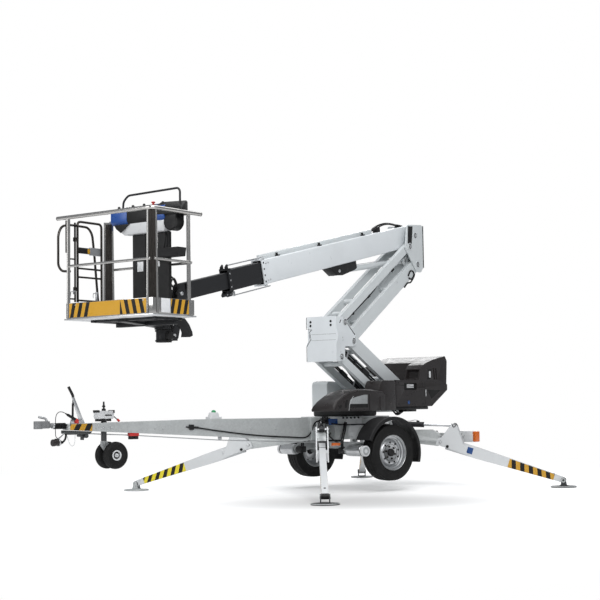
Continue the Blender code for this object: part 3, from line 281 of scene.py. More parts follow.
def plastic(name, colour, roughness=0.46, grain=900.0):
    """Moulded plastic with a fine leather-like grain and faint dust."""
    shader = Shader(name, colour, roughness, Specular_IOR_Level=0.3 if max(colour) < 0.03 else 0.5)
    dust = shader.ranged(shader.noise(6.0, 8), 0.52, 0.8, 0.0, 0.28)
    shader.tinted(dust, [c * 0.8 + 0.02 for c in colour])
    shader.rough(shader.noise(14.0, 5), roughness - 0.08, roughness + 0.12)
    shader.bump(shader.noise(grain, 2), 0.16, 0.0006)
    return shader.material


def rubber(name, colour, roughness=0.72):
    shader = Shader(name, colour, roughness, Specular_IOR_Level=0.22)
    chalk = shader.ranged(shader.noise(11.0, 8), 0.48, 0.8, 0.0, 0.35)
    shader.tinted(chalk, [c * 0.9 + 0.016 for c in colour])
    shader.rough(shader.noise(30.0, 6), roughness - 0.12, roughness + 0.1)
    shader.bump(shader.noise(260.0, 6), 0.22, 0.001)
    return shader.material


def lens(name, colour):
    """Moulded lamp lens with its ribs as bump."""
    shader = Shader(name, colour, 0.14, Transmission_Weight=0.25, Coat_Weight=0.6)
    ribs = shader.add("TexWave", Scale=60.0, bands_direction="Z")
    shader.link(shader.place, ribs.inputs["Vector"])
    shader.tinted(shader.ranged(ribs.outputs["Fac"], 0.2, 0.9, 0.0, 0.4), [c * 0.55 for c in colour])
    shader.bump(ribs.outputs["Fac"], 0.3, 0.001)
    return shader.material


FINISH = {
    "white_paint": paint("white_paint", (0.64, 0.67, 0.69)),
    "arm_paint": paint("arm_paint", (0.57, 0.6, 0.61), 0.36, 0.14),
    "leg_paint": paint("leg_paint", (0.575, 0.59, 0.6), 0.38, 0.18),
    "zinc": zinc("zinc_coat", (0.5, 0.52, 0.52)),
    "zinc_dark": zinc("zinc_dark", (0.36, 0.375, 0.38), 0.46),
    "bolt": metal("zinc_bolt", (0.62, 0.63, 0.64), 0.3),
    "chrome": metal("hard_chrome", (0.82, 0.83, 0.85), 0.09, (1, 1, 1), 60.0),
    "polished": metal("polished_steel", (0.5, 0.49, 0.475), 0.14, (1.0, 1.0, 0.04), 260.0),
    # painted shade: a near-black copy of the polished steel for the posts' flat faces and the ladder and gate
    # hoops; the wheel nuts use it too
    "post_face": metal("post_face", (0.055, 0.05, 0.046), 0.26, (1.0, 1.0, 0.04), 260.0),
    "cast_grey": zinc("cast_grey", (0.2, 0.205, 0.21), 0.46),
    "foot_steel": zinc("foot_steel", (0.055, 0.058, 0.06), 0.42),
    "floor_plate": metal("floor_aluminium", (0.7, 0.71, 0.72), 0.36),
    "rim": metal("rim_silver", (0.5, 0.51, 0.52), 0.38, (1, 1, 1), 90.0),
    "charcoal": plastic("charcoal_plastic", (0.019, 0.016, 0.016), 0.33),
    "soft_black": plastic("soft_black", (0.009, 0.009, 0.0095), 0.5, 600.0),
    "black_steel": paint("black_steel", (0.014, 0.0145, 0.016), 0.36, 0.15),
    "tyre": rubber("tyre_rubber", (0.0065, 0.0065, 0.0065), 0.62),
    "hose": rubber("hose_rubber", (0.007, 0.007, 0.0075), 0.45),
    "blue": plastic("control_blue", (0.012, 0.062, 0.26), 0.3),
    "yellow": paint("signal_yellow", (0.5, 0.262, 0.01), 0.36),
    "lemon": paint("lemon_yellow", (0.7, 0.58, 0.01), 0.36),
    "stripe_black": paint("stripe_black", (0.009, 0.009, 0.009), 0.36, 0.04),
    "red": paint("signal_red", (0.52, 0.02, 0.016), 0.34),
    "green": plastic("level_green", (0.02, 0.24, 0.09), 0.35),
    "label": plastic("blank_label", (0.62, 0.63, 0.64), 0.3),
    "blue_label": plastic("blank_blue_label", (0.01, 0.055, 0.2), 0.28),
    "orange_lens": lens("orange_lens", (0.78, 0.16, 0.01)),
    "red_lens": lens("red_lens", (0.52, 0.012, 0.01)),
    # painted shade: near black laid into holes, gaps, slots and recesses where shade falls; the hood's seam lines
    # use it too
    "dark": plastic("painted_shade_and_seams", (0.006, 0.006, 0.006), 0.7)}


# Places that the pieces are built in: x along, y left, z up in each

PLATFORM = Matrix.Translation(JOINTS["platform_swivel"]["pos_m"]) @ Matrix.Rotation(SLEW, 4, "Z")
CORNERS = {"front_left": (1, 1), "front_right": (1, -1), "rear_left": (-1, 1), "rear_right": (-1, -1)}


def place_at(joint, turn, tilt=0.0):
    """A frame at a joint, turned about the vertical and then pitched down by tilt."""
    start = Matrix.Translation(JOINTS[joint]["pos_m"])
    return start @ Matrix.Rotation(turn, 4, "Z") @ Matrix.Rotation(tilt, 4, "Y")


def leg_place(corner):
    axis = Vector(JOINTS["leg_" + corner + "_swing"]["axis"])
    return place_at("leg_" + corner + "_swing", atan2(axis.x, -axis.y))


# Mesh building


PLACE = {"chassis": CHASSIS, "platform": PLATFORM, "entry_gate": place_at("entry_gate_swing", SLEW)}
PLACE.update((body, SUPER) for body in ("turntable", "lower_link", "knuckle", "upper_arm", "upper_link",
    "top_knuckle", "bracket"))
PLACE.update((body, BOOM) for body in ("boom", "boom_stage_1", "boom_stage_2"))
SLOT = {
    finish: slot for slot, finishes in (("white_paint", "white_paint arm_paint"),
    ("black_steel", "black_steel"), ("grey_steel", "bolt foot_steel rim zinc"), ("chrome", "chrome"),
    ("rubber", "hose"), ("polished", "polished post_face yellow"),
    ("black_plastic", "soft_black blue dark charcoal leg_paint red green"),
    ("grey_plastic", "label blue_label zinc_dark"), ("silver", "floor_plate orange_lens red_lens"),
    ("tyre", "tyre")) for finish in finishes.split()}


def stitch(part, rows, closed=False):
    """Faces between rings of as many corners each; closed joins the last ring to the first."""
    for a, b in zip(rows, rows[1:] + rows[:1] if closed else rows[1:]):
        for k in range(len(a)):
            j = (k + 1) % len(a)
            part.faces.new((a[k], a[j], b[j], b[k]))


class Kit:
    """Gathers solids of one finish that move with one body into a single piece."""

    def __init__(self, name, body, finish, slot=None, place=None):
        self.name, self.body, self.finish = name, body, finish
        self.slot = slot or SLOT[finish]
        self.place = PLACE[body] if place is None else place
        self.bm = bmesh.new()

    def shape(self, build, bevel=0.0, segments=2, angle=30.0):
        """Adds what build(bmesh) makes, with its edges eased."""
        part = bmesh.new()
        build(part)
        bmesh.ops.recalc_face_normals(part, faces=part.faces)
        if bevel > 0:
            edges = [e for e in part.edges if e.is_manifold and e.calc_face_angle() > radians(angle)]
            bmesh.ops.bevel(part, geom=edges, offset=bevel, segments=segments, affect="EDGES", profile=0.5)
        mesh = bpy.data.meshes.new("part")
        part.to_mesh(mesh)
        part.free()
        self.bm.from_mesh(mesh)
        bpy.data.meshes.remove(mesh)
        return self

    def block(self, x0, x1, y0, y1, z0, z1, bevel=0.002):
        """A box; its y or z may come in either order, so that mirrored boxes need no care."""
        def build(part):
            bmesh.ops.create_cube(part, size=1.0)
            size = (x1 - x0, abs(y1 - y0), abs(z1 - z0))
            middle = ((x0 + x1) / 2, (y0 + y1) / 2, (z0 + z1) / 2)
            for v in part.verts:
                v.co = [c * s + m for c, s, m in zip(v.co, size, middle)]
        return self.shape(build, bevel)

    def hull(self, points, bevel=0.002, segments=2):
        def build(part):
            for point in points:
                part.verts.new(point)
            out = bmesh.ops.convex_hull(part, input=part.verts[:])
            spare = {g for g in out["geom_interior"] + out["geom_unused"]
                if isinstance(g, bmesh.types.BMVert)}
            bmesh.ops.delete(part, geom=list(spare), context="VERTS")
            bmesh.ops.dissolve_limit(part, angle_limit=0.002, verts=part.verts[:], edges=part.edges[:])
        return self.shape(build, bevel, segments)

    def prism(self, outline, low, high, bevel=0.002, segments=2):
        """The hull of an (x, z) outline between two y."""
        return self.hull([(x, y, z) for y in (low, high) for x, z in outline], bevel, segments)

    def plate(self, points, low, high, plane="xz", bevel=0.0015):
        low, high = sorted((low, high))

        def build(part):
            spot = {"xz": lambda a, b, c: (a, c, b), "xy": lambda a, b, c: (a, b, c),
                "yz": lambda a, b, c: (c, a, b)}[plane]
            rows = [[part.verts.new(spot(a, b, c)) for a, b in points] for c in (low, high)]
            stitch(part, rows)
            for ring in rows:
                part.faces.new(ring)
        return self.shape(build, bevel)

    def turned(self, profile, centre, axis, segments=48, closed=True):
        """Turns (along, radius) points about an axis; open profiles start and end on the axis."""
        def build(part):
            along = Vector(axis).normalized()
            side = along.orthogonal().normalized()
            up = along.cross(side)
            rows = []
            for a, r in profile:
                spot = Vector(centre) + along * a
                if r < 1e-6:
                    rows.append([part.verts.new(spot)])
                    continue
                turns = (2 * pi * k / segments for k in range(segments))
                rows.append([part.verts.new(spot + (side * cos(t) + up * sin(t)) * r) for t in turns])
            pairs = list(zip(rows, rows[1:])) + ([(rows[-1], rows[0])] if closed else [])
            for here, there in pairs:
                for k in range(segments):
                    j = (k + 1) % segments
                    corners = [here[k % len(here)], here[j % len(here)], there[j % len(there)],
                        there[k % len(there)]]
                    part.faces.new(list(dict.fromkeys(corners)))
        return self.shape(build)

    def rod(self, p0, p1, radius, end_radius=None, segments=32, ease=0.0015):
        """A round bar with eased ends."""
        p0, p1 = Vector(p0), Vector(p1)
        length = (p1 - p0).length
        end = radius if end_radius is None else end_radius
        ease = min(ease, radius * 0.4, end * 0.4, length * 0.3)
        profile = [(0, 0), (0, radius - ease), (ease, radius), (length - ease, end), (length, end - ease),
            (length, 0)]
        return self.turned(profile, p0, p1 - p0, segments, closed=False)

    def ring(self, p0, p1, outer, inner, segments=32, ease=0.001):
        p0, p1 = Vector(p0), Vector(p1)
        n = (p1 - p0).length
        profile = [(0, inner), (0, outer - ease), (ease, outer), (n - ease, outer), (n, outer - ease),
            (n, inner)]
        return self.turned(profile, p0, p1 - p0, segments)

    def bolt(self, place, axis, size=0.01, head=0.006, washer=True):
        """A hexagon head on a washer, with its axis pointing outwards."""
        place, axis = Vector(place), Vector(axis).normalized()
        if washer:
            self.rod(place, place + axis * head * 0.28, size * 1.18, segments=20, ease=0.0004)
        start = place + axis * head * (0.25 if washer else 0.0)
        profile = [(0, 0), (0, size), (head * 0.8, size), (head, size * 0.82), (head, 0)]
        return self.turned(profile, start, axis, 6, closed=False)

    def tube(self, points, radius, segments=12, smooth=0):
        """A round tube along points; smooth adds that many spline steps between each two of them."""
        path = spline(points, smooth) if smooth else [Vector(p) for p in points]

        def build(part):
            rows = []
            run = (path[1] - path[0]).normalized()
            side = run.orthogonal().normalized()
            for i, spot in enumerate(path):
                before = (spot - path[i - 1]).normalized() if i else run
                after = (path[i + 1] - spot).normalized() if i + 1 < len(path) else before
                if i:
                    side = run.rotation_difference(before) @ side
                run = before
                other = run.cross(side).normalized()
                normal = (before + after).normalized()
                row = []
                for k in range(segments):
                    turn = 2 * pi * k / segments
                    offset = (side * cos(turn) + other * sin(turn)) * radius
                    row.append(part.verts.new(spot + offset - run * (offset.dot(normal) / run.dot(normal))))
                rows.append(row)
            stitch(part, rows)
            part.faces.new(rows[0])
            part.faces.new(rows[-1])
        return self.shape(build)

    def done(self, *nodes, sharp=35.0):
        """Makes the piece, and lets it stand for the named CAD nodes."""
        mesh = bpy.data.meshes.new(self.name)
        bmesh.ops.recalc_face_normals(self.bm, faces=self.bm.faces)
        self.bm.to_mesh(mesh)
        self.bm.free()
        mesh.transform(self.place)
        mesh.materials.append(FINISH[self.finish])
        mesh.shade_smooth()
        mesh.set_sharp_from_angle(angle=radians(sharp))
        piece = bpy.data.objects.new(self.name, mesh)
        bpy.context.scene.collection.objects.link(piece)
        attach(piece, self.body)
        if nodes:
            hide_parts(*nodes)
        return piece


def hoses(name, body, routes, radius, segments=12, place=None):
    """One numbered hose for each route, smoothed between its points."""
    for k, route in enumerate(routes):
        Kit("%s_%d" % (name, k), body, "hose", place=place).tube(route, radius, segments, 6).done()


def spline(points, steps):
    """A Catmull-Rom curve through the points."""
    points = [Vector(p) for p in points]
    ends = [points[0] * 2 - points[1]] + points + [points[-1] * 2 - points[-2]]
    out = []
    for a, b, c, d in zip(ends, ends[1:], ends[2:], ends[3:]):
        for k in range(steps):
            f = k / steps
            out.append(0.5 * (2 * b + (c - a) * f + (2 * a - 5 * b + 4 * c - d) * f ** 2
                + (3 * b - a - 3 * c + d) * f ** 3))
    out.append(points[-1])
    return out


def rounded_path(points, radius, steps=6):
    """A run of straight lines with its corners turned into arcs."""
    points = [Vector(p) for p in points]
    out = [points[0]]
    for before, corner, after in zip(points, points[1:], points[2:]):
        into, onward = (before - corner), (after - corner)
        cut = min(radius, into.length * 0.48, onward.length * 0.48)
        start, end = corner + into.normalized() * cut, corner + onward.normalized() * cut
        for k in range(steps + 1):
            f = k / steps
            out.append(start * (1 - f) ** 2 + corner * (2 * f * (1 - f)) + end * f ** 2)
    out.append(points[-1])
    return out


def body_of(node):
    return next(body for body, nodes in frame["record"]["behaviour"]["bodies"].items() if node in nodes)


def skin(node, finish, ease=0.003, segments=2, angle=28.0):
    """The CAD node's own shape with its edges eased, in its real finish."""
    source = frame["nodes"][node]
    bm = bmesh.new()
    bm.from_mesh(source.data)
    bmesh.ops.transform(bm, matrix=source.matrix_world, verts=bm.verts)
    bmesh.ops.remove_doubles(bm, verts=bm.verts, dist=1e-5)
    bmesh.ops.dissolve_limit(bm, angle_limit=radians(0.6), verts=bm.verts[:], edges=bm.edges[:])
    mesh = bpy.data.meshes.new(node + ".skin")
    bm.to_mesh(mesh)
    bm.free()
    piece = bpy.data.objects.new(node + ".skin", mesh)
    bpy.context.scene.collection.objects.link(piece)
    mesh.materials.clear()
    mesh.materials.append(FINISH[finish])
    mesh.shade_smooth()
    mesh.set_sharp_from_angle(angle=radians(40))
    bevel = piece.modifiers.new("ease", "BEVEL")
    bevel.width = ease
    bevel.segments = segments
    bevel.limit_method = "ANGLE"
    bevel.angle_limit = radians(angle)
    bevel.harden_normals = False
    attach(piece, body_of(node))
    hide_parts(node)
    return piece


def clipped(polygon, low, high):
    """Cuts a polygon of (a, b) points to low <= a <= high."""
    for limit, sign in ((low, 1), (high, -1)):
        out = []
        for p, q in zip(polygon, polygon[1:] + polygon[:1]):
            inside_p, inside_q = (p[0] - limit) * sign >= 0, (q[0] - limit) * sign >= 0
            if inside_p:
                out.append(p)
            if inside_p != inside_q:
                f = (limit - p[0]) / (q[0] - p[0])
                out.append((limit, p[1] + (q[1] - p[1]) * f))
        polygon = out
        if len(polygon) < 3:
            return []
    return polygon


STRIPE_THICK = 0.0006


def hazard(name, body, place, outline, slant, pitch, start=0.0, slot="white_paint", light="yellow"):
    """Two-colour slanted stripes on a four-cornered strip: outline is (length, low0, low1, high0, high1)."""
    length, low0, low1, high0, high1 = outline
    kits = [Kit(name + ".yellow", body, light, slot, place),
        Kit(name + ".black", body, "stripe_black", slot, place)]
    count = int((length + abs(slant)) / pitch) + 3
    for k in range(-2, count):
        a = start + k * pitch
        band = clipped([(a, 0), (a + pitch, 0), (a + pitch + slant, 1), (a + slant, 1)], 0.0, length)
        if len(band) < 3:
            continue
        points = []
        for x, up in band:
            f = x / length
            low, high = low0 + (low1 - low0) * f, high0 + (high1 - high0) * f
            points.append((x, low + (high - low) * up))
        kits[k % 2].plate(points, 0.0, STRIPE_THICK, "xz", 0.0)
    for kit in kits:
        kit.done()


# Wheels

WHEEL = JOINTS["road_wheel_left_spin"]["pos_m"]
TYRE_R = 0.323
TYRE_HALF = 0.095
RIM_R = 0.196


def tyre_mesh(part, side):
    """A tread of four rib rows cut by cross grooves, round shoulders and a ribbed side wall."""
    pitches = 58
    tread = [(-0.078, 0), (-0.05, 0), (-0.047, 1), (-0.041, 1), (-0.038, 0), (-0.004, 0), (-0.0035, 1),
        (0.0035, 1), (0.004, 0), (0.038, 0), (0.041, 1), (0.047, 1), (0.05, 0), (0.078, 0)]
    wall = [(0.086, 0.3185), (0.0915, 0.311), (0.0935, 0.3), (0.0925, 0.2985), (0.0945, 0.288),
        (0.095, 0.268), (0.0945, 0.25), (0.0925, 0.2485), (0.093, 0.236), (0.09, 0.224), (0.085, 0.215),
        (0.0835, 0.2135), (0.0815, 0.206), (0.079, 0.1975)]
    rows = []
    for k in range(pitches * 4):
        pitch, step = divmod(k, 4)
        turn = 2 * pi * (pitch + (0.0, 0.1, 0.16, 0.94)[step]) / pitches
        cut = step in (1, 2)
        ring = [(-y, r) for y, r in reversed(wall)]
        for y, groove in tread:
            crown = TYRE_R - 0.0035 * (y / 0.078) ** 2
            middle = abs(y) < 0.052
            depth = 0.0065 if groove else (0.0035 if cut and not middle else (0.0018 if cut else 0.0))
            ring.append((y, crown - depth))
        ring += wall
        row = [part.verts.new((r * cos(turn), y, r * sin(turn))) for y, r in ring]
        rows.append(row)
    stitch(part, rows, closed=True)


def road_wheels():
    for name, side in (("left", 1), ("right", -1)):
        body = "road_wheel_" + name
        place = Matrix.Translation((WHEEL[0], side * WHEEL[1], WHEEL[2]))
        Kit("tyre_tread_" + name, body, "tyre", place=place).shape(
            lambda part: tyre_mesh(part, side)).done("tyre_" + name)
        rim = Kit("rim_" + name, body, "rim", "silver", place)
        profile = [(0.08, 0.1995), (0.0835, 0.2035), (0.08, 0.205), (0.0765, 0.197), (0.075, 0.188),
            (0.05, 0.184), (0.042, 0.17), (0.02, 0.169), (0.014, 0.16), (0.02, 0.15), (0.04, 0.138),
            (0.048, 0.118), (0.044, 0.1), (0.038, 0.093), (0.038, 0.046), (0.032, 0.045), (0.032, 0.09),
            (0.038, 0.1), (0.042, 0.117), (0.034, 0.134), (0.014, 0.145), (0.006, 0.16), (-0.06, 0.165),
            (-0.075, 0.188), (-0.078, 0.197), (-0.076, 0.1995), (-0.072, 0.19), (-0.056, 0.17),
            (0.015, 0.1735), (0.038, 0.174), (0.047, 0.188)]
        rim.turned([(side * a, r) for a, r in profile], (0, 0, 0), (0, 1, 0), 96)
        rim.done("wheel_rim_" + name, sharp=50)
        Kit("hub_" + name, body, "soft_black", "black_steel", place).turned(
            [(side * a, r) for a, r in ((0.03, 0), (0.03, 0.046), (0.06, 0.044), (0.066, 0.04),
            (0.07, 0.03), (0.0715, 0))], (0, 0, 0), (0, 1, 0), 48, closed=False).done()
        nuts = Kit("wheel_nuts_" + name, body, "post_face", "silver", place)
        for k in range(6):
            turn = radians(60 * k + 15)
            spot = (0.07 * cos(turn), side * 0.0375, 0.07 * sin(turn))
            nuts.bolt(spot, (0, side, 0), 0.0105, 0.013)
            nuts.rod(spot, (spot[0], side * 0.056, spot[2]), 0.006, segments=16)
        nuts.turned([(-0.003, 0), (-0.003, 0.003), (0.014, 0.0028), (0.014, 0)],
            (0.172 * cos(2.2), side * 0.052, 0.172 * sin(2.2)), (0, side, 0), 12, closed=False)
        nuts.done()
        # painted shade: near-black discs stand for the rim's holes, and a thin near-black ring for its groove
        holes = Kit("rim_holes_" + name, body, "dark", "silver", place)
        for k in range(9):
            turn = radians(40 * k + 5)
            x, z = 0.1165 * cos(turn), 0.1165 * sin(turn)
            holes.rod((x, side * 0.04, z), (x, side * 0.0487, z), 0.0125, segments=24, ease=0.0004)
        holes.ring((0, side * 0.0405, 0), (0, side * 0.046, 0), 0.0965, 0.0945, 64, 0.0002)
        holes.done()
        guard = Kit("guard_" + name, "chassis", "soft_black")
        wheel_x = WHEEL[0] - ORIGIN_X

        def arc(part):
            steps = 60
            profile = [(0.585, 0.4055), (0.585, 0.412), (0.588, 0.4148), (0.812, 0.4148), (0.819, 0.4132),
                (0.8235, 0.4085), (0.8248, 0.402), (0.8248, 0.374), (0.8235, 0.3725), (0.8205, 0.374),
                (0.8195, 0.4), (0.817, 0.4045), (0.812, 0.4056)]
            rows = []
            for i in range(steps + 1):
                turn = radians(22 + 175 * i / steps)
                rows.append([part.verts.new((wheel_x + r * cos(turn), side * y, WHEEL[2] + r * sin(turn)))
                    for y, r in profile])
            stitch(part, rows)
            part.faces.new(rows[0])
            part.faces.new(rows[-1])
        guard.shape(arc)
        guard.done("mudguard_" + name)


def jockey_wheels():
    place = Matrix.Translation(JOINTS["jockey_spin"]["pos_m"])
    for name, side in (("left", 1), ("right", -1)):
        tyre = Kit("jockey_tyre_" + name, "jockey_wheels", "tyre", place=place)
        profile = [(0.049, 0.06), (0.049, 0.105), (0.053, 0.125), (0.062, 0.137), (0.072, 0.1418),
            (0.078, 0.1428), (0.079, 0.1405), (0.083, 0.1405), (0.084, 0.143), (0.086, 0.1428),
            (0.096, 0.1418), (0.106, 0.137), (0.115, 0.125), (0.119, 0.105), (0.1185, 0.082),
            (0.1145, 0.06), (0.11, 0.0545), (0.058, 0.0545)]
        tyre.turned([(side * a, r) for a, r in profile], (0, 0, 0), (0, 1, 0), 64)
        tyre.done("jockey_wheel_" + name)
        rim = Kit("jockey_rim_" + name, "jockey_wheels", "label", "silver", place)
        profile = [(0.052, 0.0543), (0.052, 0.044), (0.085, 0.04), (0.085, 0.026), (0.05, 0.021),
            (0.0225, 0.02), (0.0225, 0.0095), (0.117, 0.0095), (0.117, 0.02), (0.098, 0.022), (0.094, 0.03),
            (0.098, 0.0385), (0.115, 0.041), (0.117, 0.0445), (0.117, 0.051), (0.1155, 0.0543)]
        rim.turned([(side * a, r) for a, r in profile], (0, 0, 0), (0, 1, 0), 48)
        rim.done(sharp=50)
        # painted shade: a near-black ring in the hollow of the jockey rim
        Kit("jockey_well_" + name, "jockey_wheels", "dark", "silver", place).ring(
            (0, side * 0.0925, 0), (0, side * 0.1005, 0), 0.0375, 0.0215, 40, 0.0005).done()
        Kit("jockey_nut_" + name, "jockey_wheels", "bolt", place=place).bolt(
            (0, side * 0.117, 0), (0, side, 0), 0.01, 0.009).done()


road_wheels()
jockey_wheels()

# The frame's own shapes, with eased edges

for node, finish, ease in (("chassis_frame", "zinc", 0.005), ("towbar", "zinc", 0.006),
        ("turntable", "arm_paint", 0.002), ("lower_arm", "arm_paint", 0.007),
        ("lower_link", "arm_paint", 0.006), ("upper_arm", "arm_paint", 0.007),
        ("upper_link", "arm_paint", 0.006), ("middle_knuckle", "white_paint", 0.0025),
        ("top_knuckle", "arm_paint", 0.0025), ("rear_hood", "charcoal", 0.009),
        ("far_cover", "arm_paint", 0.008), ("platform_bracket", "black_steel", 0.003),
        ("console_column", "soft_black", 0.006), ("tool_tray", "soft_black", 0.004),
        ("axle_beam", "zinc_dark", 0.003), ("ball_coupling", "cast_grey", 0.003),
        ("jockey_fork", "zinc_dark", 0.003)):
    skin(node, finish, ease)
for corner in CORNERS:
    skin("outrigger_leg_" + corner, "leg_paint", 0.003)


# Boom sections: box tubes with round corners


def boom_tube(kit, half_t, half_w, rear, front, wall, radius):
    def build(part):
        rows = []
        for u, inset in ((rear, 0), (front, 0), (front, wall), (rear, wall)):
            row = []
            r = max(radius - inset, 0.001)
            for sx, sy, first in ((1, 1, 0), (-1, 1, 90), (-1, -1, 180), (1, -1, 270)):
                for k in range(5):
                    turn = radians(first + 22.5 * k)
                    row.append(part.verts.new((u, sx * (half_t - inset - r) + r * cos(turn),
                        sy * (half_w - inset - r) + r * sin(turn))))
            rows.append(row)
        stitch(part, rows, closed=True)
    kit.shape(build)


def boom():
    outer = Kit("boom_outer_tube", "boom", "white_paint")
    boom_tube(outer, 0.068, 0.137, -0.1, 3.19, 0.0055, 0.012)
    lug = [(1.38, -0.135), (1.87, -0.135), (1.74, -0.246), (1.62, -0.262), (1.4, -0.2)]
    outer.plate(lug, 0.048, 0.06).plate(lug, -0.06, -0.048)
    outer.ring((0, -0.0748, 0), (0, -0.066, 0), 0.05, 0.0235, 48)
    outer.ring((0, 0.066, 0), (0, 0.0748, 0), 0.05, 0.0235, 48)
    outer.done("boom_outer")
    middle = Kit("boom_middle_tube", "boom_stage_1", "black_steel")
    boom_tube(middle, 0.054, 0.115, 0.1, 3.785, 0.005, 0.01)
    middle.done("boom_middle")
    inner = Kit("boom_inner_tube", "boom_stage_2", "black_steel")
    boom_tube(inner, 0.042, 0.089, 0.25, 4.5, 0.005, 0.009)
    for side in (-1, 1):
        inner.plate([(4.44, -0.088), (4.56, -0.088), (4.6, -0.06), (4.6, 0.05), (4.57, 0.088),
            (4.44, 0.088)], side * 0.0265, side * 0.042)
        inner.ring((4.58, side * 0.0268, -0.01), (4.58, side * 0.0425, -0.01), 0.05, 0.0185, 40)
    inner.done("boom_inner")


boom()


# Rams


def ram(name, place, length, barrel_end, rod_from, barrel_r, rod_r, eye_half, nodes, bodies,
        finish="black_steel"):
    """A ram along x: barrel with its gland, base eye and port blocks, and the rod with its own eye."""
    barrel = Kit(name + "_tube", bodies[0], finish, "black_steel", place)
    barrel.rod((0.018, 0, 0), (barrel_end - 0.035, 0, 0), barrel_r * 0.97, segments=40)
    barrel.ring((barrel_end - 0.045, 0, 0), (barrel_end, 0, 0), barrel_r, rod_r + 0.001, 40)
    barrel.ring((0, -eye_half, 0), (0, eye_half, 0), barrel_r * 0.95, barrel_r * 0.45, 40)
    barrel.block(0.04, 0.075, -0.012, 0.012, barrel_r * 0.7, barrel_r + 0.014)
    barrel.block(barrel_end - 0.09, barrel_end - 0.055, -0.012, 0.012, barrel_r * 0.7, barrel_r + 0.014)
    barrel.done(nodes[0])
    Kit(name + "_pipe", bodies[0], "bolt", place=place).tube(
        rounded_path([(0.058, 0, barrel_r + 0.01), (0.058, 0, barrel_r + 0.02), (0.16, 0, barrel_r + 0.02),
        (0.2, 0, barrel_r + 0.007), (barrel_end - 0.16, 0, barrel_r + 0.007),
        (barrel_end - 0.12, 0, barrel_r + 0.02), (barrel_end - 0.073, 0, barrel_r + 0.02),
        (barrel_end - 0.073, 0, barrel_r + 0.01)], 0.012, 4), 0.004, 10).done()
    Kit(name + "_rod_bar", bodies[1], "chrome", place=place).rod(
        (rod_from, 0, 0), (length - barrel_r * 0.6, 0, 0), rod_r, segments=40).done(nodes[1])
    eye = Kit(name + "_rod_eye", bodies[1], "black_steel", place=place)
    eye.ring((length, -eye_half, 0), (length, eye_half, 0), barrel_r * 0.95, barrel_r * 0.45, 40)
    eye.rod((length - barrel_r * 1.5, 0, 0), (length - barrel_r * 0.7, 0, 0), rod_r * 1.25, segments=32)
    eye.done()


def boom_rams():
    for name, base, slide, shown, barrel_r, rod_r in (("lift", "lift_barrel_swing", "lift_rod_slide", 0.146,
            0.04, 0.025), ("luff", "luff_barrel_swing", "luff_rod_slide", 0.125, 0.036, 0.023)):
        axis = Matrix.Rotation(-SLEW, 4, "Z") @ Vector(JOINTS[slide]["axis"])
        place = place_at(base, SLEW, -atan2(axis.z, axis.x))
        length = RAM_LENGTH[name]
        ram(name + "_ram", place, length, length - shown, (length - shown) * 0.55, barrel_r, rod_r, 0.04,
            (name + "_cylinder_barrel", name + "_cylinder_rod"), (name + "_barrel", name + "_rod"),
            "arm_paint" if name == "luff" else "black_steel")


RAM_LENGTH = {"lift": 1.0058, "luff": 1.5049}
LEG_RAM_BASE = Vector((-0.62, 0, 0.225))
LEG_RAM_EYE = Vector((0.17, 0, 0.195))
boom_rams()
leg_run = LEG_RAM_EYE - LEG_RAM_BASE
for corner in CORNERS:
    place = leg_place(corner) @ Matrix.Translation(LEG_RAM_BASE)
    place = place @ Matrix.Rotation(atan2(-leg_run.z, leg_run.x), 4, "Y")
    ram("leg_ram_" + corner, place, leg_run.length, 0.42, 0.35, 0.032, 0.016, 0.03,
        ("outrigger_barrel_" + corner, "outrigger_rod_" + corner),
        ("leg_barrel_" + corner, "leg_rod_" + corner))


# Outriggers

LEG_TIP = Vector((1.4328, 0, -0.455))
leg_tilt = atan2(-LEG_TIP.z, LEG_TIP.x)


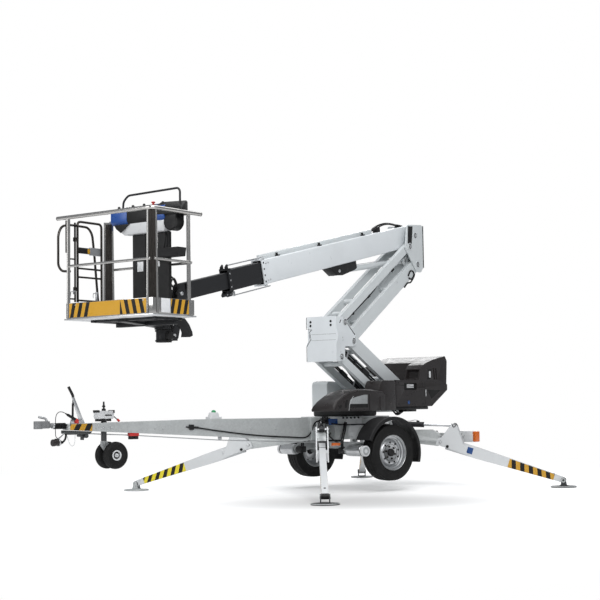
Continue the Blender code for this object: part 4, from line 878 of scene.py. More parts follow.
def outriggers():
    for corner, (sx, sy) in CORNERS.items():
        body, place = "leg_" + corner, leg_place(corner)
        foot = Kit("foot_" + corner, body, "zinc" if corner == "front_right" else "foot_steel",
            "grey_steel", place)
        x, floor = LEG_TIP.x, -0.54
        foot.turned([(0.0005, 0), (0.0005, 0.142), (0.003, 0.1495), (0.01, 0.1495), (0.0135, 0.1455),
            (0.014, 0.112), (0.019, 0.104), (0.0195, 0.06), (0.026, 0.052), (0.026, 0)], (x, 0, floor),
            (0, 0, 1), 64, closed=False)
        ear = [(x - 0.036, floor + 0.02), (x + 0.036, floor + 0.02), (x + 0.02, LEG_TIP.z + 0.018),
            (x + 0.01, LEG_TIP.z + 0.026), (x - 0.01, LEG_TIP.z + 0.026), (x - 0.02, LEG_TIP.z + 0.018)]
        foot.plate(ear, 0.04, 0.052).plate(ear, -0.052, -0.04)
        foot.rod((x, -0.0545, LEG_TIP.z), (x, 0.0545, LEG_TIP.z), 0.0105, segments=24)
        foot.done("foot_plate_" + corner)
        lip = Kit("foot_lip_" + corner, body, "zinc", place=place)
        lip.ring((x, 0, floor + 0.0085), (x, 0, floor + 0.0165), 0.1498, 0.1425, 64, 0.0015)
        for y in (-1, 1):
            lip.ring((x, y * 0.0515, LEG_TIP.z), (x, y * 0.0565, LEG_TIP.z), 0.0265, 0.0145, 32)
        lip.done()
        bolts = Kit("leg_bolts_" + corner, body, "bolt", place=place)
        for y in (-1, 1):
            bolts.bolt((0, y * 0.0696, 0), (0, y, 0), 0.017, 0.007)
            bolts.bolt((LEG_RAM_EYE.x, y * 0.0696, LEG_RAM_EYE.z), (0, y, 0), 0.014, 0.008)
        bolts.rod((LEG_RAM_EYE.x, -0.055, LEG_RAM_EYE.z), (LEG_RAM_EYE.x, 0.055, LEG_RAM_EYE.z), 0.0098,
            segments=24)
        bolts.done()
        # stripes near the foot on both sides of the beam
        drop = Matrix.Rotation(leg_tilt, 4, "Y")
        for y in (1, -1):
            side = place @ drop @ Matrix.Translation((0.84, y * 0.0362 - (STRIPE_THICK if y < 0 else 0), 0))
            hazard("leg_stripes_%s_%s" % (corner, "left" if y > 0 else "right"), body, side,
                (0.55, -0.05, -0.0335, 0.054, 0.0365), -0.055 if sx > 0 else -0.03, 0.052,
                light="lemon" if corner == "front_right" else "yellow")
        collar = Kit("leg_pin_caps_" + corner, "chassis", "soft_black", "black_steel", place)
        for y in (-1, 1):
            collar.rod(LEG_RAM_BASE + Vector((0, y * 0.05, 0)), LEG_RAM_BASE + Vector((0, y * 0.058, 0)),
                0.017, segments=24)
            collar.rod((0, y * 0.0698, 0), (0, y * 0.0775, 0), 0.0182, segments=24)
        collar.done()


outriggers()

# Tow hitch: coupling bellows and jockey post


def hitch():
    bellows = Kit("bellows", "chassis", "hose")
    profile = [(0, 0.0)]
    for k in range(9):
        x = 0.004 + k * 0.0152
        profile += [(x, 0.0245), (x + 0.004, 0.032), (x + 0.008, 0.032), (x + 0.0125, 0.0245)]
    profile += [(0.1395, 0.026), (0.1395, 0.0)]
    bellows.turned(profile, (3.7604, 0, 0.83), (1, 0, 0), 40, closed=False)
    bellows.done("coupling_bellows")
    post = Kit("jockey_tube", "chassis", "foot_steel")
    post.ring((3.31, 0, 0.662), (3.31, 0, 0.93), 0.0298, 0.025, 40)
    post.rod((3.31, 0, 0.925), (3.31, 0, 0.972), 0.0285, 0.02, segments=40)
    post.rod((3.31, 0, 0.97), (3.31, 0, 1.075), 0.0125, 0.009, segments=24)
    post.block(3.255, 3.365, -0.05, 0.05, 0.8685, 0.9, 0.004)
    post.done("jockey_post")


hitch()

# Work platform

PLAT_BACK = 0.1655
PLAT_FRONT = PLAT_BACK + 0.637
PLAT_HALF = 0.592
PLAT_TOP = 1.03
RAIL_IN = 0.021
TOE_HALF = 0.0038
TOE_FACE = 0.0042
TOE_HIGH = 0.14


def platform_rails():
    rails = Kit("rails", "platform", "polished")
    # painted shade: thin sheets of the near-black copy of the polished steel on the posts' front and back faces
    faces = Kit("post_faces", "platform", "post_face")
    top = PLAT_TOP - RAIL_IN
    for x, out_x in ((PLAT_BACK, -1), (PLAT_FRONT, 1)):
        for out_y in (-1, 1):
            across = Vector((-out_y, out_x, 0)).normalized()
            inward = Vector((-out_x, -out_y, 0)).normalized()
            slim = out_x > 0 > out_y
            face = Vector((x, out_y * PLAT_HALF, 0)) + inward * (0.03 if slim else 0.059)
            corners, panel, behind = [], [], []
            for z, wide in ((-0.0017, 0.06 if slim else 0.118), (top, 0.052 if slim else 0.098)):
                for a, b in ((0.5, 0.01), (0.47, 0.003), (0.42, 0.0005), (-0.42, 0.0005), (-0.47, 0.003),
                        (-0.5, 0.01), (-0.5, 0.0335), (0.5, 0.0335)):
                    corners.append(face + across * (a * wide) + inward * b + Vector((0, 0, z)))
                for a in (-0.33, 0.33):
                    for b in (-0.0004, 0.001):
                        lift = 0.012 if z < 0 else -0.02
                        panel.append(face + across * (a * wide) + inward * b + Vector((0, 0, z + lift)))
                        behind.append(face + across * (a * wide) + inward * (0.0331 + b)
                            + Vector((0, 0, z + lift)))
            rails.hull(corners, 0.001, 1)
            faces.hull(panel, 0.0)
            faces.hull(behind, 0.0)
    front, left, back = PLAT_FRONT - RAIL_IN, PLAT_HALF - RAIL_IN, PLAT_BACK + RAIL_IN
    run = rounded_path([(front, -PLAT_HALF - 0.108, top), (front, left, top),
        (PLAT_BACK - 0.098, left, top)], 0.07, 10)
    rails.tube(run, 0.0206, 28)
    rails.rod((back, -0.55, top), (back, 0.55, top), 0.0163, segments=24)
    for x0, y0, x1, y1 in ((front, -0.545, front, 0.545), (front - 0.03, left, back + 0.03, left),
            (back, -0.545, back, 0.545)):
        rails.rod((x0, y0, 0.52), (x1, y1, 0.52), 0.0133, segments=24)
    out = -PLAT_HALF - 0.07
    hoop = [(front - 0.02, -0.545, 0.47), (front - 0.02, out, 0.48), (front + 0.028, out, 0.53),
        (front + 0.028, out, 0.85), (front - 0.02, out, 0.935), (front - 0.13, out, 0.957),
        (front - 0.39, out, 0.954), (front - 0.45, out, 0.89), (front - 0.48, out, 0.68),
        (front - 0.53, out, 0.22), (front - 0.53, out + 0.03, 0.125), (front - 0.53, out + 0.09, 0.11)]
    # painted shade: the ladder hoop is polished steel made near black where it lies in shade
    ladder = Kit("ladder_frame", "platform", "post_face")
    ladder.tube(rounded_path(hoop, 0.05, 5), 0.0123, 18)
    ladder.block(front - 0.052, front - 0.012, -PLAT_HALF - 0.012, -PLAT_HALF + 0.02, 0.66, 0.985, 0.003)
    hinge_x = PLAT_FRONT - 0.135
    ladder.rod((hinge_x, RAIL_IN - PLAT_HALF, 0.17), (hinge_x, RAIL_IN - PLAT_HALF, 0.97), 0.0098,
        segments=20)
    for z in (0.2, 0.6, 0.94):
        ladder.rod((hinge_x, RAIL_IN - PLAT_HALF, z), (front - 0.045, RAIL_IN - PLAT_HALF, z), 0.0078,
            segments=16)
    for x in (front, back):
        rails.block(x - TOE_HALF, x + TOE_HALF, -0.575, 0.575, -0.001, 0.15, 0.0012)
    for y in (-left, left):
        rails.block(back, front, y - TOE_HALF, y + TOE_HALF, -0.001, 0.15, 0.0012)
    rails.done("platform_rails")
    ladder.done()
    faces.done()
    caps = Kit("rail_caps", "platform", "soft_black")
    caps.rod((front, -PLAT_HALF - 0.1095, top), (front, -PLAT_HALF - 0.1, top), 0.0209, segments=28)
    caps.rod((PLAT_BACK - 0.0995, left, top), (PLAT_BACK - 0.09, left, top), 0.0209, segments=28)
    caps.done()
    # painted shade: the gate hoop is polished steel made near black
    gate = Kit("gate_hoop", "entry_gate", "post_face")
    near_x, far_x = -0.036, PLAT_BACK + 0.125 - hinge_x
    gate.tube(rounded_path([(near_x, 0, 0.17), (near_x, 0, 0.985), (far_x, 0, 0.985), (far_x, 0, 0.17)],
        0.045, 6), 0.0123, 20)
    for z in (0.3, 0.8):
        gate.ring((0, 0, z - 0.02), (0, 0, z + 0.02), 0.0195, 0.0105, 24)
        gate.block(near_x - 0.004, -0.015, -0.0058, 0.0058, z - 0.015, z + 0.015, 0.001)
    for z in (0.19, 0.425, 0.513):
        gate.rod((near_x, 0, z), (far_x, 0, z), 0.0098, segments=18)
    gate.done("entry_gate")
    Kit("gate_bar", "entry_gate", "soft_black").block(
        far_x - 0.003, near_x + 0.003, -0.0062, 0.0062, 0.665, 0.725, 0.002).done()


def toe_place(x, y, turn):
    """The frame of a toe board's strip, turned so that its own x axis runs along the board."""
    return PLATFORM @ Matrix.Translation((x, y, 0.006)) @ Matrix.Rotation(radians(turn), 4, "Z")


def toe_stripes():
    front, left = PLAT_FRONT - RAIL_IN, PLAT_HALF - RAIL_IN
    face = toe_place(front + TOE_FACE, 0.522, -90)
    for name, start, length, slant in (("right", 0.76, 0.335, -0.035), ("left", 0.0, 0.37, 0.035)):
        place = face @ Matrix.Translation((start, 0, 0))
        hazard("toe_stripes_" + name, "platform", place, (length, 0, 0, TOE_HIGH, TOE_HIGH), slant, 0.0475,
            slot="polished")
    Kit("toe_plain", "platform", "yellow", place=face).block(
        0.37, 0.76, 0.0, STRIPE_THICK, 0, TOE_HIGH, 0.0).done()
    side = toe_place(PLAT_BACK + 0.09, left + TOE_FACE, 0)
    hazard("toe_stripes_side", "platform", side, (0.27, 0, 0, TOE_HIGH, TOE_HIGH), -0.035, 0.0475,
        slot="polished")
    Kit("toe_label", "platform", "label", "polished").block(
        front - 0.245, front - 0.115, left + TOE_FACE, left + 0.0056, 0.012, 0.148, 0.001).done()
    back = toe_place(PLAT_BACK + RAIL_IN - 0.0048, -0.5, 90)
    hazard("toe_stripes_back", "platform", back, (1.0, 0, 0, TOE_HIGH, TOE_HIGH), 0.035, 0.0475,
        slot="polished")


platform_rails()
toe_stripes()


def console():
    place = PLATFORM @ Matrix.Translation((PLAT_BACK, 0, 0))
    desk = [(0.05, 0.945), (0.05, 1.125), (0.09, 1.135), (0.215, 1.085), (0.215, 0.975), (0.19, 0.945)]
    box = Kit("console_box", "platform", "soft_black", place=place)
    box.plate(desk, -0.135, 0.182, bevel=0.006)
    box.hull([(0.07, 0.22, 1.0), (0.07, 0.555, 1.0), (0.07, 0.24, 1.12), (0.07, 0.555, 1.135),
        (0.12, 0.24, 1.145), (0.12, 0.56, 1.125), (0.21, 0.24, 1.09), (0.21, 0.585, 1.05),
        (0.22, 0.22, 1.0), (0.22, 0.59, 0.985)], 0.018, 4)
    box.done("control_box")
    ends = Kit("console_ends", "platform", "blue", place=place)
    ends.plate(desk, -0.357, -0.136, bevel=0.008)
    ends.plate([(a - 0.001, z + 0.001) for a, z in desk], 0.183, 0.36, bevel=0.008)
    ends.done()
    Kit("console_belly", "platform", "label", "black_plastic", place).hull(
        [(0.056, -0.329, 0.949), (0.056, 0.36, 0.949), (0.2, -0.33, 0.949), (0.2, 0.36, 0.949),
        (0.07, -0.22, 0.8405), (0.07, 0.33, 0.8405), (0.17, -0.22, 0.8405), (0.17, 0.33, 0.8405)], 0.012,
        3).done()
    pod = Kit("console_pod", "platform", "soft_black", place=place)
    pod.turned([(0, 0), (0, 0.07), (0.02, 0.086), (0.12, 0.088), (0.134, 0.078), (0.14, 0.05), (0.14, 0)],
        (0.065, 0.425, 0.925), (1, 0, 0), 40, closed=False)
    pod.block(0.07, 0.2, 0.36, 0.5, 0.93, 1.0, 0.006)
    pod.hull([(x, y, z) for x in (0.2, 0.2075)
        for y, z in ((-0.315, 0.945), (-0.1, 0.945), (-0.225, 0.862), (-0.285, 0.905))], 0.001)
    pod.done()
    Kit("console_guard", "platform", "black_steel", place=place).tube(
        rounded_path([(0.13, -0.265, 1.08), (0.13, -0.255, 1.19), (0.13, -0.19, 1.246),
        (0.13, 0.475, 1.258), (0.13, 0.5, 1.23), (0.13, 0.5, 1.03)], 0.03, 6), 0.0108, 20).done()


console()

# Boom trim


def boom_trim():
    frame_plate = Kit("boom_front_frame", "boom", "white_paint")
    # painted shade: near-black discs stand for the holes in the front frame
    holes = Kit("boom_frame_holes", "boom", "dark")
    bolts = Kit("boom_bolts", "boom", "bolt")
    for side in (-1, 1):
        frame_plate.block(3.145, 3.19, side * 0.066, side * 0.078, -0.153, 0.153)
        frame_plate.block(3.145, 3.19, -0.078, 0.078, side * 0.1345, side * 0.153)
        for w in (-0.105, -0.035, 0.035, 0.105):
            holes.rod((3.168, side * 0.0775, w), (3.168, side * 0.0786, w), 0.0115, segments=24,
                ease=0.0002)
        for u in (3.07, 3.115):
            for w in (-0.095, 0.095):
                bolts.bolt((u, side * 0.068, w), (0, side, 0), 0.009, 0.006)
        bolts.bolt((1.69, side * 0.0632, -0.205), (0, side, 0), 0.017, 0.008)
    frame_plate.done()
    holes.done()
    rail = Kit("boom_top_rail", "boom", "arm_paint")
    rail.block(0.76, 3.1, -0.06, -0.01, 0.136, 0.1885, 0.006)
    for u in (0.95, 1.7, 2.45, 3.05):
        rail.block(u - 0.02, u + 0.02, -0.012, 0.012, 0.1365, 0.141, 0.001)
        bolts.bolt((u, 0.002, 0.141), (0, 0, 1), 0.006, 0.004)
    rail.done()
    bolts.done()
    dark = Kit("boom_rail_clips", "boom", "soft_black", "black_steel")
    for u in (1.0, 1.95, 2.8):
        dark.block(u - 0.022, u + 0.022, -0.064, 0.03, 0.1365, 0.15, 0.002)
        dark.block(u - 0.008, u + 0.008, -0.012, 0.014, 0.145, 0.175, 0.002)
    dark.done()
    # the boxed mount of the luffing ram, and its hoses on top
    cover = Kit("luff_mount_cover", "boom", "soft_black", "black_steel")
    outline = [(1.31, -0.1365), (1.31, -0.222), (1.36, -0.24), (1.64, -0.265), (1.75, -0.25),
        (1.885, -0.1365)]
    for low, high in ((0.0602, 0.0632), (-0.0632, -0.0602)):
        cover.plate(outline, low, high, bevel=0.001)
    cover.plate([(1.745, -0.251), (1.755, -0.251), (1.892, -0.137), (1.88, -0.137)], -0.0605, 0.0605)
    cover.done()
    hoses("boom_hose", "boom", [[(0.74, -0.035, 0.165), (0.66, t, 0.19 + rise), (0.52, t, 0.216 + rise),
        (0.38, t, 0.214 + rise), (0.24, t, 0.19 + rise), (0.13, t, 0.162), (0.05, t, 0.14),
        (0.02, t, 0.128)] for t, rise in ((-0.048, 0.0), (-0.026, 0.004), (-0.002, -0.008))], 0.0095)
    Kit("boom_hose_clips", "boom", "soft_black", "grey_steel").block(
        0.6, 0.66, -0.062, 0.016, 0.1365, 0.2, 0.004).block(0.09, 0.13, -0.062, 0.012, 0.1365, 0.152).done()
    stage = Kit("boom_collar", "boom_stage_1", "black_steel")
    for side in (-1, 1):
        stage.block(3.735, 3.785, side * 0.053, side * 0.062, -0.13, 0.13)
        stage.block(3.735, 3.785, -0.062, 0.062, side * 0.114, side * 0.13)
        stage.plate([(3.742, 0.125), (3.742, 0.172), (3.76, 0.178), (3.8, 0.15), (3.8, 0.125)], side * 0.03,
            side * 0.036)
        stage.plate([(3.74, -0.125), (3.74, -0.172), (3.83, -0.172), (3.845, -0.15), (3.82, -0.12),
            (3.785, -0.112)], side * 0.03, side * 0.036)
    stage.rod((3.765, -0.029, -0.15), (3.765, 0.029, -0.15), 0.02, segments=32)
    stage.rod((3.822, -0.029, -0.148), (3.822, 0.029, -0.148), 0.017, segments=32)
    stage.done()
    guide = Kit("boom_guide_tubes", "boom_stage_1", "rim")
    guide.rod((3.1, 0.02, 0.1625), (3.76, 0.02, 0.1625), 0.0078, segments=20)
    guide.rod((3.1, 0.074, -0.1625), (3.76, 0.074, -0.1625), 0.0072, segments=20)
    guide.block(3.742, 3.775, 0.058, 0.082, -0.172, -0.122)
    for side in (-1, 1):
        for w in (-0.072, 0.0, 0.072):
            guide.bolt((3.76, side * 0.062, w), (0, side, 0), 0.0085, 0.005)
        guide.bolt((3.765, side * 0.036, -0.15), (0, side, 0), 0.008, 0.005)
        guide.bolt((3.822, side * 0.036, -0.148), (0, side, 0), 0.008, 0.005)
    guide.done()


boom_trim()

# Pins of the folding arms, their hoses and the trim of the knuckles

PIVOT = {
    "K1": (0.09, 1.755),
    "K2": (0.35, 1.565),
    "U2": (0.27, 1.975),
    "B1": (-1.0137, 1.1682),
    "B2": (-0.7537, 0.9782),
    "T1": (-1.5001, 2.7876),
    "T2": (-1.3201, 3.0076),
    "LUFF": (-1.4501, 3.1576),
    "LIFT_BASE": (-0.5997, 1.0702),
    "LIFT_EYE": (0.215, 1.66),
    "LUFF_BASE": (-1.3301, 2.8276)}


def pin_ends(name, body, face, radius, spots, slot="white_paint"):
    """On each side of each pin: a boss ring, a near-black disc of painted shade in the gap round the pin, its end
    and a keeper plate.
    """
    boss = Kit(name + "_bosses", body, "arm_paint", slot, SUPER)
    # painted shade in the gap round each pin
    gap = Kit(name + "_gaps", body, "dark", place=SUPER)
    ends = Kit(name + "_pin_ends", body, "bolt", place=SUPER)
    for key, turn in spots:
        s, z = PIVOT[key]
        for side in (-1, 1):
            boss.ring((s, side * (face - 0.001), z), (s, side * (face + 0.005), z), radius * 2.0,
                radius * 1.55, 40)
            gap.rod((s, side * (face - 0.001), z), (s, side * (face + 0.0012), z), radius * 1.62,
                segments=32, ease=0.0002)
            ends.rod((s, side * (face - 0.002), z), (s, side * (face + 0.0085), z), radius * 1.08,
                segments=32)
            along = Vector((cos(turn), 0, sin(turn)))
            base = Vector((s, side * (face + 0.0085), z))
            ends.rod(base, base + Vector((0, side * 0.003, 0)), radius * 0.45, segments=20)
            spot = Vector((s, side * face, z)) + along * radius * 2.6
            ends.bolt(spot, (0, side, 0), 0.0065, 0.005)
    for kit in (boss, gap, ends):
        kit.done()


def arm_trim():
    pin_ends("turntable", "turntable", 0.206, 0.022, (("B1", 0.5), ("B2", 0.5)))
    pin_ends("knuckle", "knuckle", 0.206, 0.022, (("K1", 2.2), ("K2", 1.2), ("U2", 1.2)))
    pin_ends("top_knuckle", "top_knuckle", 0.15, 0.022, (("T1", 2.0), ("T2", -0.8), ("LUFF", 2.4)))
    pin_ends("lift_base", "turntable", 0.064, 0.014, (("LIFT_BASE", 1.57),))
    pin_ends("lift_eye", "knuckle", 0.064, 0.014, (("LIFT_EYE", 0.0),))
    pin_ends("luff_base", "top_knuckle", 0.064, 0.014, (("LUFF_BASE", 1.57),))
    s, z = PIVOT["K1"]
    strips = Kit("knuckle_edge_strips", "knuckle", "soft_black")
    bolts = Kit("knuckle_bolts", "knuckle", "bolt")
    edge = [(s + 0.218, z + 0.268), (s + 0.203, z + 0.262), (s - 0.028, z + 0.079), (s - 0.018, z + 0.07)]
    slot = [(s + 0.3, z + 0.205), (s + 0.285, z + 0.205), (s + 0.262, z + 0.24), (s + 0.277, z + 0.244)]
    front = s + 0.368
    for side in (-1, 1):
        for outline in (edge, slot):
            strips.plate(outline, side * 0.2058, side * 0.2078, bevel=0.0005)
        for up in (0.005, 0.035, 0.225):
            bolts.bolt((s + 0.235, side * 0.206, z + up), (0, side, 0), 0.0075, 0.005)
        for up in (0.195, 0.24):
            strips.bolt((front, side * 0.145 - 0.015, z + up - 0.015), (1, 0, 0), 0.0125, 0.007)
    rim = [(-0.2215, 2.036), (-0.2215, 1.9), (-0.15, 1.89), (-0.176, 1.862), (-0.16, 1.778),
        (-0.2225, 1.69), (-0.2225, 1.52)]
    for (t0, z0), (t1, z1) in zip(rim, rim[1:]):
        run = Vector((t1 - t0, z1 - z0)).normalized() * 0.003
        edge = [(t0 - run.x, z0 - run.y), (t1 + run.x, z1 + run.y),
            (t1 + run.x + 0.0055, z1 + run.y - 0.004), (t0 - run.x + 0.0055, z0 - run.y - 0.004)]
        strips.plate(edge, front - 0.0005, front + 0.0012, "yz", 0.0)
    for up in (0.075, 0.005):
        strips.block(front - 0.0005, front + 0.0006, -0.16, 0.2, z + up, z + up + 0.0022, 0.0)
    strips.done()
    bolts.done()
    s, z = PIVOT["LUFF"]
    strips = Kit("top_knuckle_strips", "top_knuckle", "soft_black")
    back = PIVOT["T1"][0] - 0.155
    for side in (-1, 1):
        strips.plate([(s + 0.06, z + 0.112), (s + 0.172, z + 0.104), (s + 0.186, z - 0.118),
            (s + 0.088, z - 0.118)], side * 0.1498, side * 0.1516, bevel=0.0005)
        strips.block(back + 0.001, back + 0.022, side * 0.1498, side * 0.1516, PIVOT["T1"][1] - 0.03,
            z + 0.138, 0.0004)
    strips.done()
    # hoses between the lower arm and its link, and the feed line under the upper link
    rise = radians(28)
    along, up = Vector((cos(rise), 0, sin(rise))), Vector((-sin(rise), 0, cos(rise)))
    base = Vector((PIVOT["B2"][0], 0, PIVOT["B2"][1]))
    for k, (n, t, radius) in enumerate(((0.074, 0.16, 0.0105), (0.098, 0.15, 0.0125),
            (0.122, 0.162, 0.0105), (0.08, -0.16, 0.0105), (0.104, -0.155, 0.0115))):
        hose = Kit("lift_hose_%d" % k, "lower_link", "hose")
        path = [(0.16, n - 0.03, t - 0.01), (0.3, n, t), (0.55, n - 0.006, t), (0.8, n + 0.004, t),
            (1.05, n, t), (1.22, n + 0.01, t - 0.004), (1.33, n + 0.03, t - 0.03)]
        hose.tube([base + along * a + up * h + Vector((0, y, 0)) for a, h, y in path], radius, 14, 6)
        hose.done()
    clips = Kit("lift_hose_clips", "lower_link", "bolt")
    guard = Kit("lift_hose_guard", "lower_link", "soft_black")
    turn = Matrix.Translation(base) @ Matrix.Rotation(-rise, 4, "Y")
    for kit, runs in ((clips, ((0.42, 0.44), (1.1, 1.12))), (guard, ((0.6, 0.74), (0.9, 0.93)))):
        kit.place = SUPER @ turn
        for low, high in runs:
            kit.block(low, high, 0.138, 0.176, 0.048, 0.137, 0.004)
            kit.block(low, high, -0.176, -0.138, 0.048, 0.12, 0.004)
        kit.done()
    rise = radians(33)
    along, up = Vector((-cos(rise), 0, sin(rise))), Vector((sin(rise), 0, cos(rise)))
    base = Vector((PIVOT["U2"][0], 0, PIVOT["U2"][1]))
    Kit("upper_feed_line", "upper_link", "hose").tube(
        [base + along * a + up * h + Vector((0, 0.118, 0))
        for a, h in ((0.1, -0.05), (0.22, -0.062), (0.45, -0.066), (0.7, -0.07), (0.88, -0.066),
        (0.98, -0.052))], 0.0075, 12, 6).done()
    clip = Kit("upper_feed_clips", "upper_link", "soft_black",
        place=SUPER @ Matrix.Translation(base) @ Matrix.Rotation(rise, 4, "Y")
        @ Matrix.Rotation(pi, 4, "Z"))
    for low, high in ((0.7, 0.76), (0.3, 0.33), (1.36, 1.42)):
        clip.block(low, high, -0.131, -0.112, -0.08, -0.046, 0.004)
        clip.block(low, high, 0.112, 0.131, -0.08, -0.046, 0.004)
    clip.done()
    hooks = Kit("arm_hose_hooks", "upper_arm", "hose")
    for side in (-1, 1):
        for points in (((-1.19, 2.475), (-1.26, 2.53), (-1.34, 2.548), (-1.4, 2.6), (-1.43, 2.635),
                (-1.44, 2.662)), ((-1.285, 2.625), (-1.34, 2.69), (-1.405, 2.69), (-1.42, 2.64),
                (-1.365, 2.59), (-1.3, 2.6))):
            hooks.tube([(s0, side * 0.134, z0) for s0, z0 in points], 0.0105, 12, 5)
    hooks.done()
    bolts = Kit("arm_bolts", "upper_arm", "bolt")
    knuckle = Vector((PIVOT["K1"][0], 0, PIVOT["K1"][1]))
    for a, h in ((1.35, 0.045), (1.62, -0.04), (0.3, 0.05), (0.55, -0.05)):
        for side in (-1, 1):
            bolts.bolt(knuckle + along * a + up * h + Vector((0, side * 0.13, 0)), (0, side, 0), 0.0075,
                0.005)
    bolts.done()


arm_trim()

# Turntable and its covers


def cover_trim():
    Kit("slew_skirt", "turntable", "soft_black").turned(
        [(0.8685, 0.33), (0.8685, 0.362), (0.876, 0.372), (0.9, 0.375), (0.9285, 0.375), (0.9285, 0.33)],
        (0, 0, 0), (0, 0, 1), 96).done(sharp=50)
    bolts = Kit("slew_bolts", "turntable", "bolt")
    for k in range(24):
        turn = radians(15 * k + 5)
        bolts.bolt((0.348 * cos(turn), 0.348 * sin(turn), 0.927), (0, 0, 1), 0.01, 0.008)
    bolts.done()
    under = Kit("hood_underside", "turntable", "soft_black")
    for side in (-1, 1):
        under.block(-1.27, -0.475, side * 0.222, side * 0.4, 0.93, 0.9675, 0.008)
        under.block(-1.05, -0.8, side * 0.25, side * 0.36, 0.905, 0.932, 0.006)
    under.done()
    hoses("hood_hose", "turntable", [[(-0.44, t - 0.03, 0.968), (-0.47, t, 0.95 - drop / 3),
        (-0.54, t + 0.006, 0.908 - drop), (-0.62, t + 0.008, 0.894 - drop / 2), (-0.69, t, 0.913),
        (-0.72, t - 0.01, 0.945), (-0.73, t - 0.03, 0.968)]
        for t, drop in ((0.385, 0.0), (0.355, 0.012), (0.37, 0.03))], 0.0095)
    seams = Kit("hood_seams", "turntable", "dark")
    plates = Kit("hood_plates", "turntable", "label")
    for side in (-1, 1):
        low, high = side * 0.429, side * 0.4304
        seams.block(-1.149, -1.143, low, high, 0.985, 1.268, 0.0)
        seams.plate([(-0.48, 1.236), (-0.48, 1.231), (-1.143, 1.193), (-1.143, 1.198)], low, high,
            bevel=0.0)
        seams.plate([(-1.205, 1.172), (-1.528, 1.166), (-1.298, 1.058)], low, high, bevel=0.0)
        low, high = side * 0.425, side * 0.4266
        seams.plate([(-1.215, 1.3), (-1.29, 1.305), (-1.325, 1.432), (-1.24, 1.426)], low, high, bevel=0.0)
        seams.block(-0.955, -0.659, side * 0.4108, side * 0.4122, 1.171, 1.252, 0.0)
        plates.block(-0.908, -0.748, side * 0.4118, side * 0.414, 1.196, 1.24, 0.001)
        plates.block(-1.3, -1.258, side * 0.4262, side * 0.4272, 1.325, 1.405, 0.001)
        plates.block(-1.176, -1.162, side * 0.4295, side * 0.4306, 1.09, 1.175, 0.0004)
    seams.done()
    plates.done()
    Kit("hood_round_plate", "turntable", "blue_label").rod(
        (-0.76, 0.4292, 1.018), (-0.76, 0.4312, 1.018), 0.024, segments=32, ease=0.0003).done()
    catches = Kit("hood_catches", "turntable", "soft_black", "grey_steel")
    for side in (-1, 1):
        for s, z in ((-0.53, 1.258), (-1.1, 1.235), (-0.53, 1.0), (-1.1, 1.0)):
            catches.rod((s, side * 0.4295, z), (s, side * 0.4318, z), 0.011, segments=24, ease=0.0006)
            catches.block(s - 0.008, s + 0.008, side * 0.4316, side * 0.4334, z - 0.002, z + 0.002, 0.0004)
    for s in (0.86, 0.62, 0.34, 0.05):
        catches.rod((s, 0.4992, 0.945), (s, 0.5018, 0.945), 0.008, segments=20, ease=0.0006)
    catches.done()
    Kit("bonnet_insert", "turntable", "zinc_dark").plate(
        [(0.64, 1.01), (0.628, 1.055), (0.547, 1.082), (0.338, 1.114), (0.265, 1.114), (0.268, 1.01)],
        0.4985, 0.5022, bevel=0.0015).done()
    # painted shade: a near-black band stands for the recess under the bonnet insert
    Kit("bonnet_recesses", "turntable", "dark").plate(
        [(0.645, 0.968), (0.645, 1.006), (0.262, 1.006), (0.262, 0.968)], 0.499, 0.5006, bevel=0.0).done()
    ribs = Kit("bonnet_ribs", "turntable", "charcoal")
    for s, low, high in ((0.205, 0.935, 1.125), (-0.02, 0.935, 1.095)):
        ribs.block(s, s + 0.022, 0.4975, 0.5045, low, high, 0.004)
    ribs.tube([(0.946, 0.494, 0.948), (0.926, 0.486, 0.972), (0.858, 0.482, 1.03), (0.738, 0.483, 1.09),
        (0.598, 0.485, 1.134), (0.42, 0.486, 1.164), (0.15, 0.485, 1.158), (-0.11, 0.482, 1.134)], 0.0055,
        12)
    ribs.done()
    vents = Kit("far_cover_trim", "turntable", "soft_black")
    for z in (1.02, 1.06, 1.1, 1.14):
        vents.block(-0.36, -0.08, -0.4412, -0.4396, z, z + 0.016, 0.0)
    vents.block(-0.44, 0.0, -0.42, -0.24, 1.2845, 1.2885, 0.002)
    vents.done()


cover_trim()


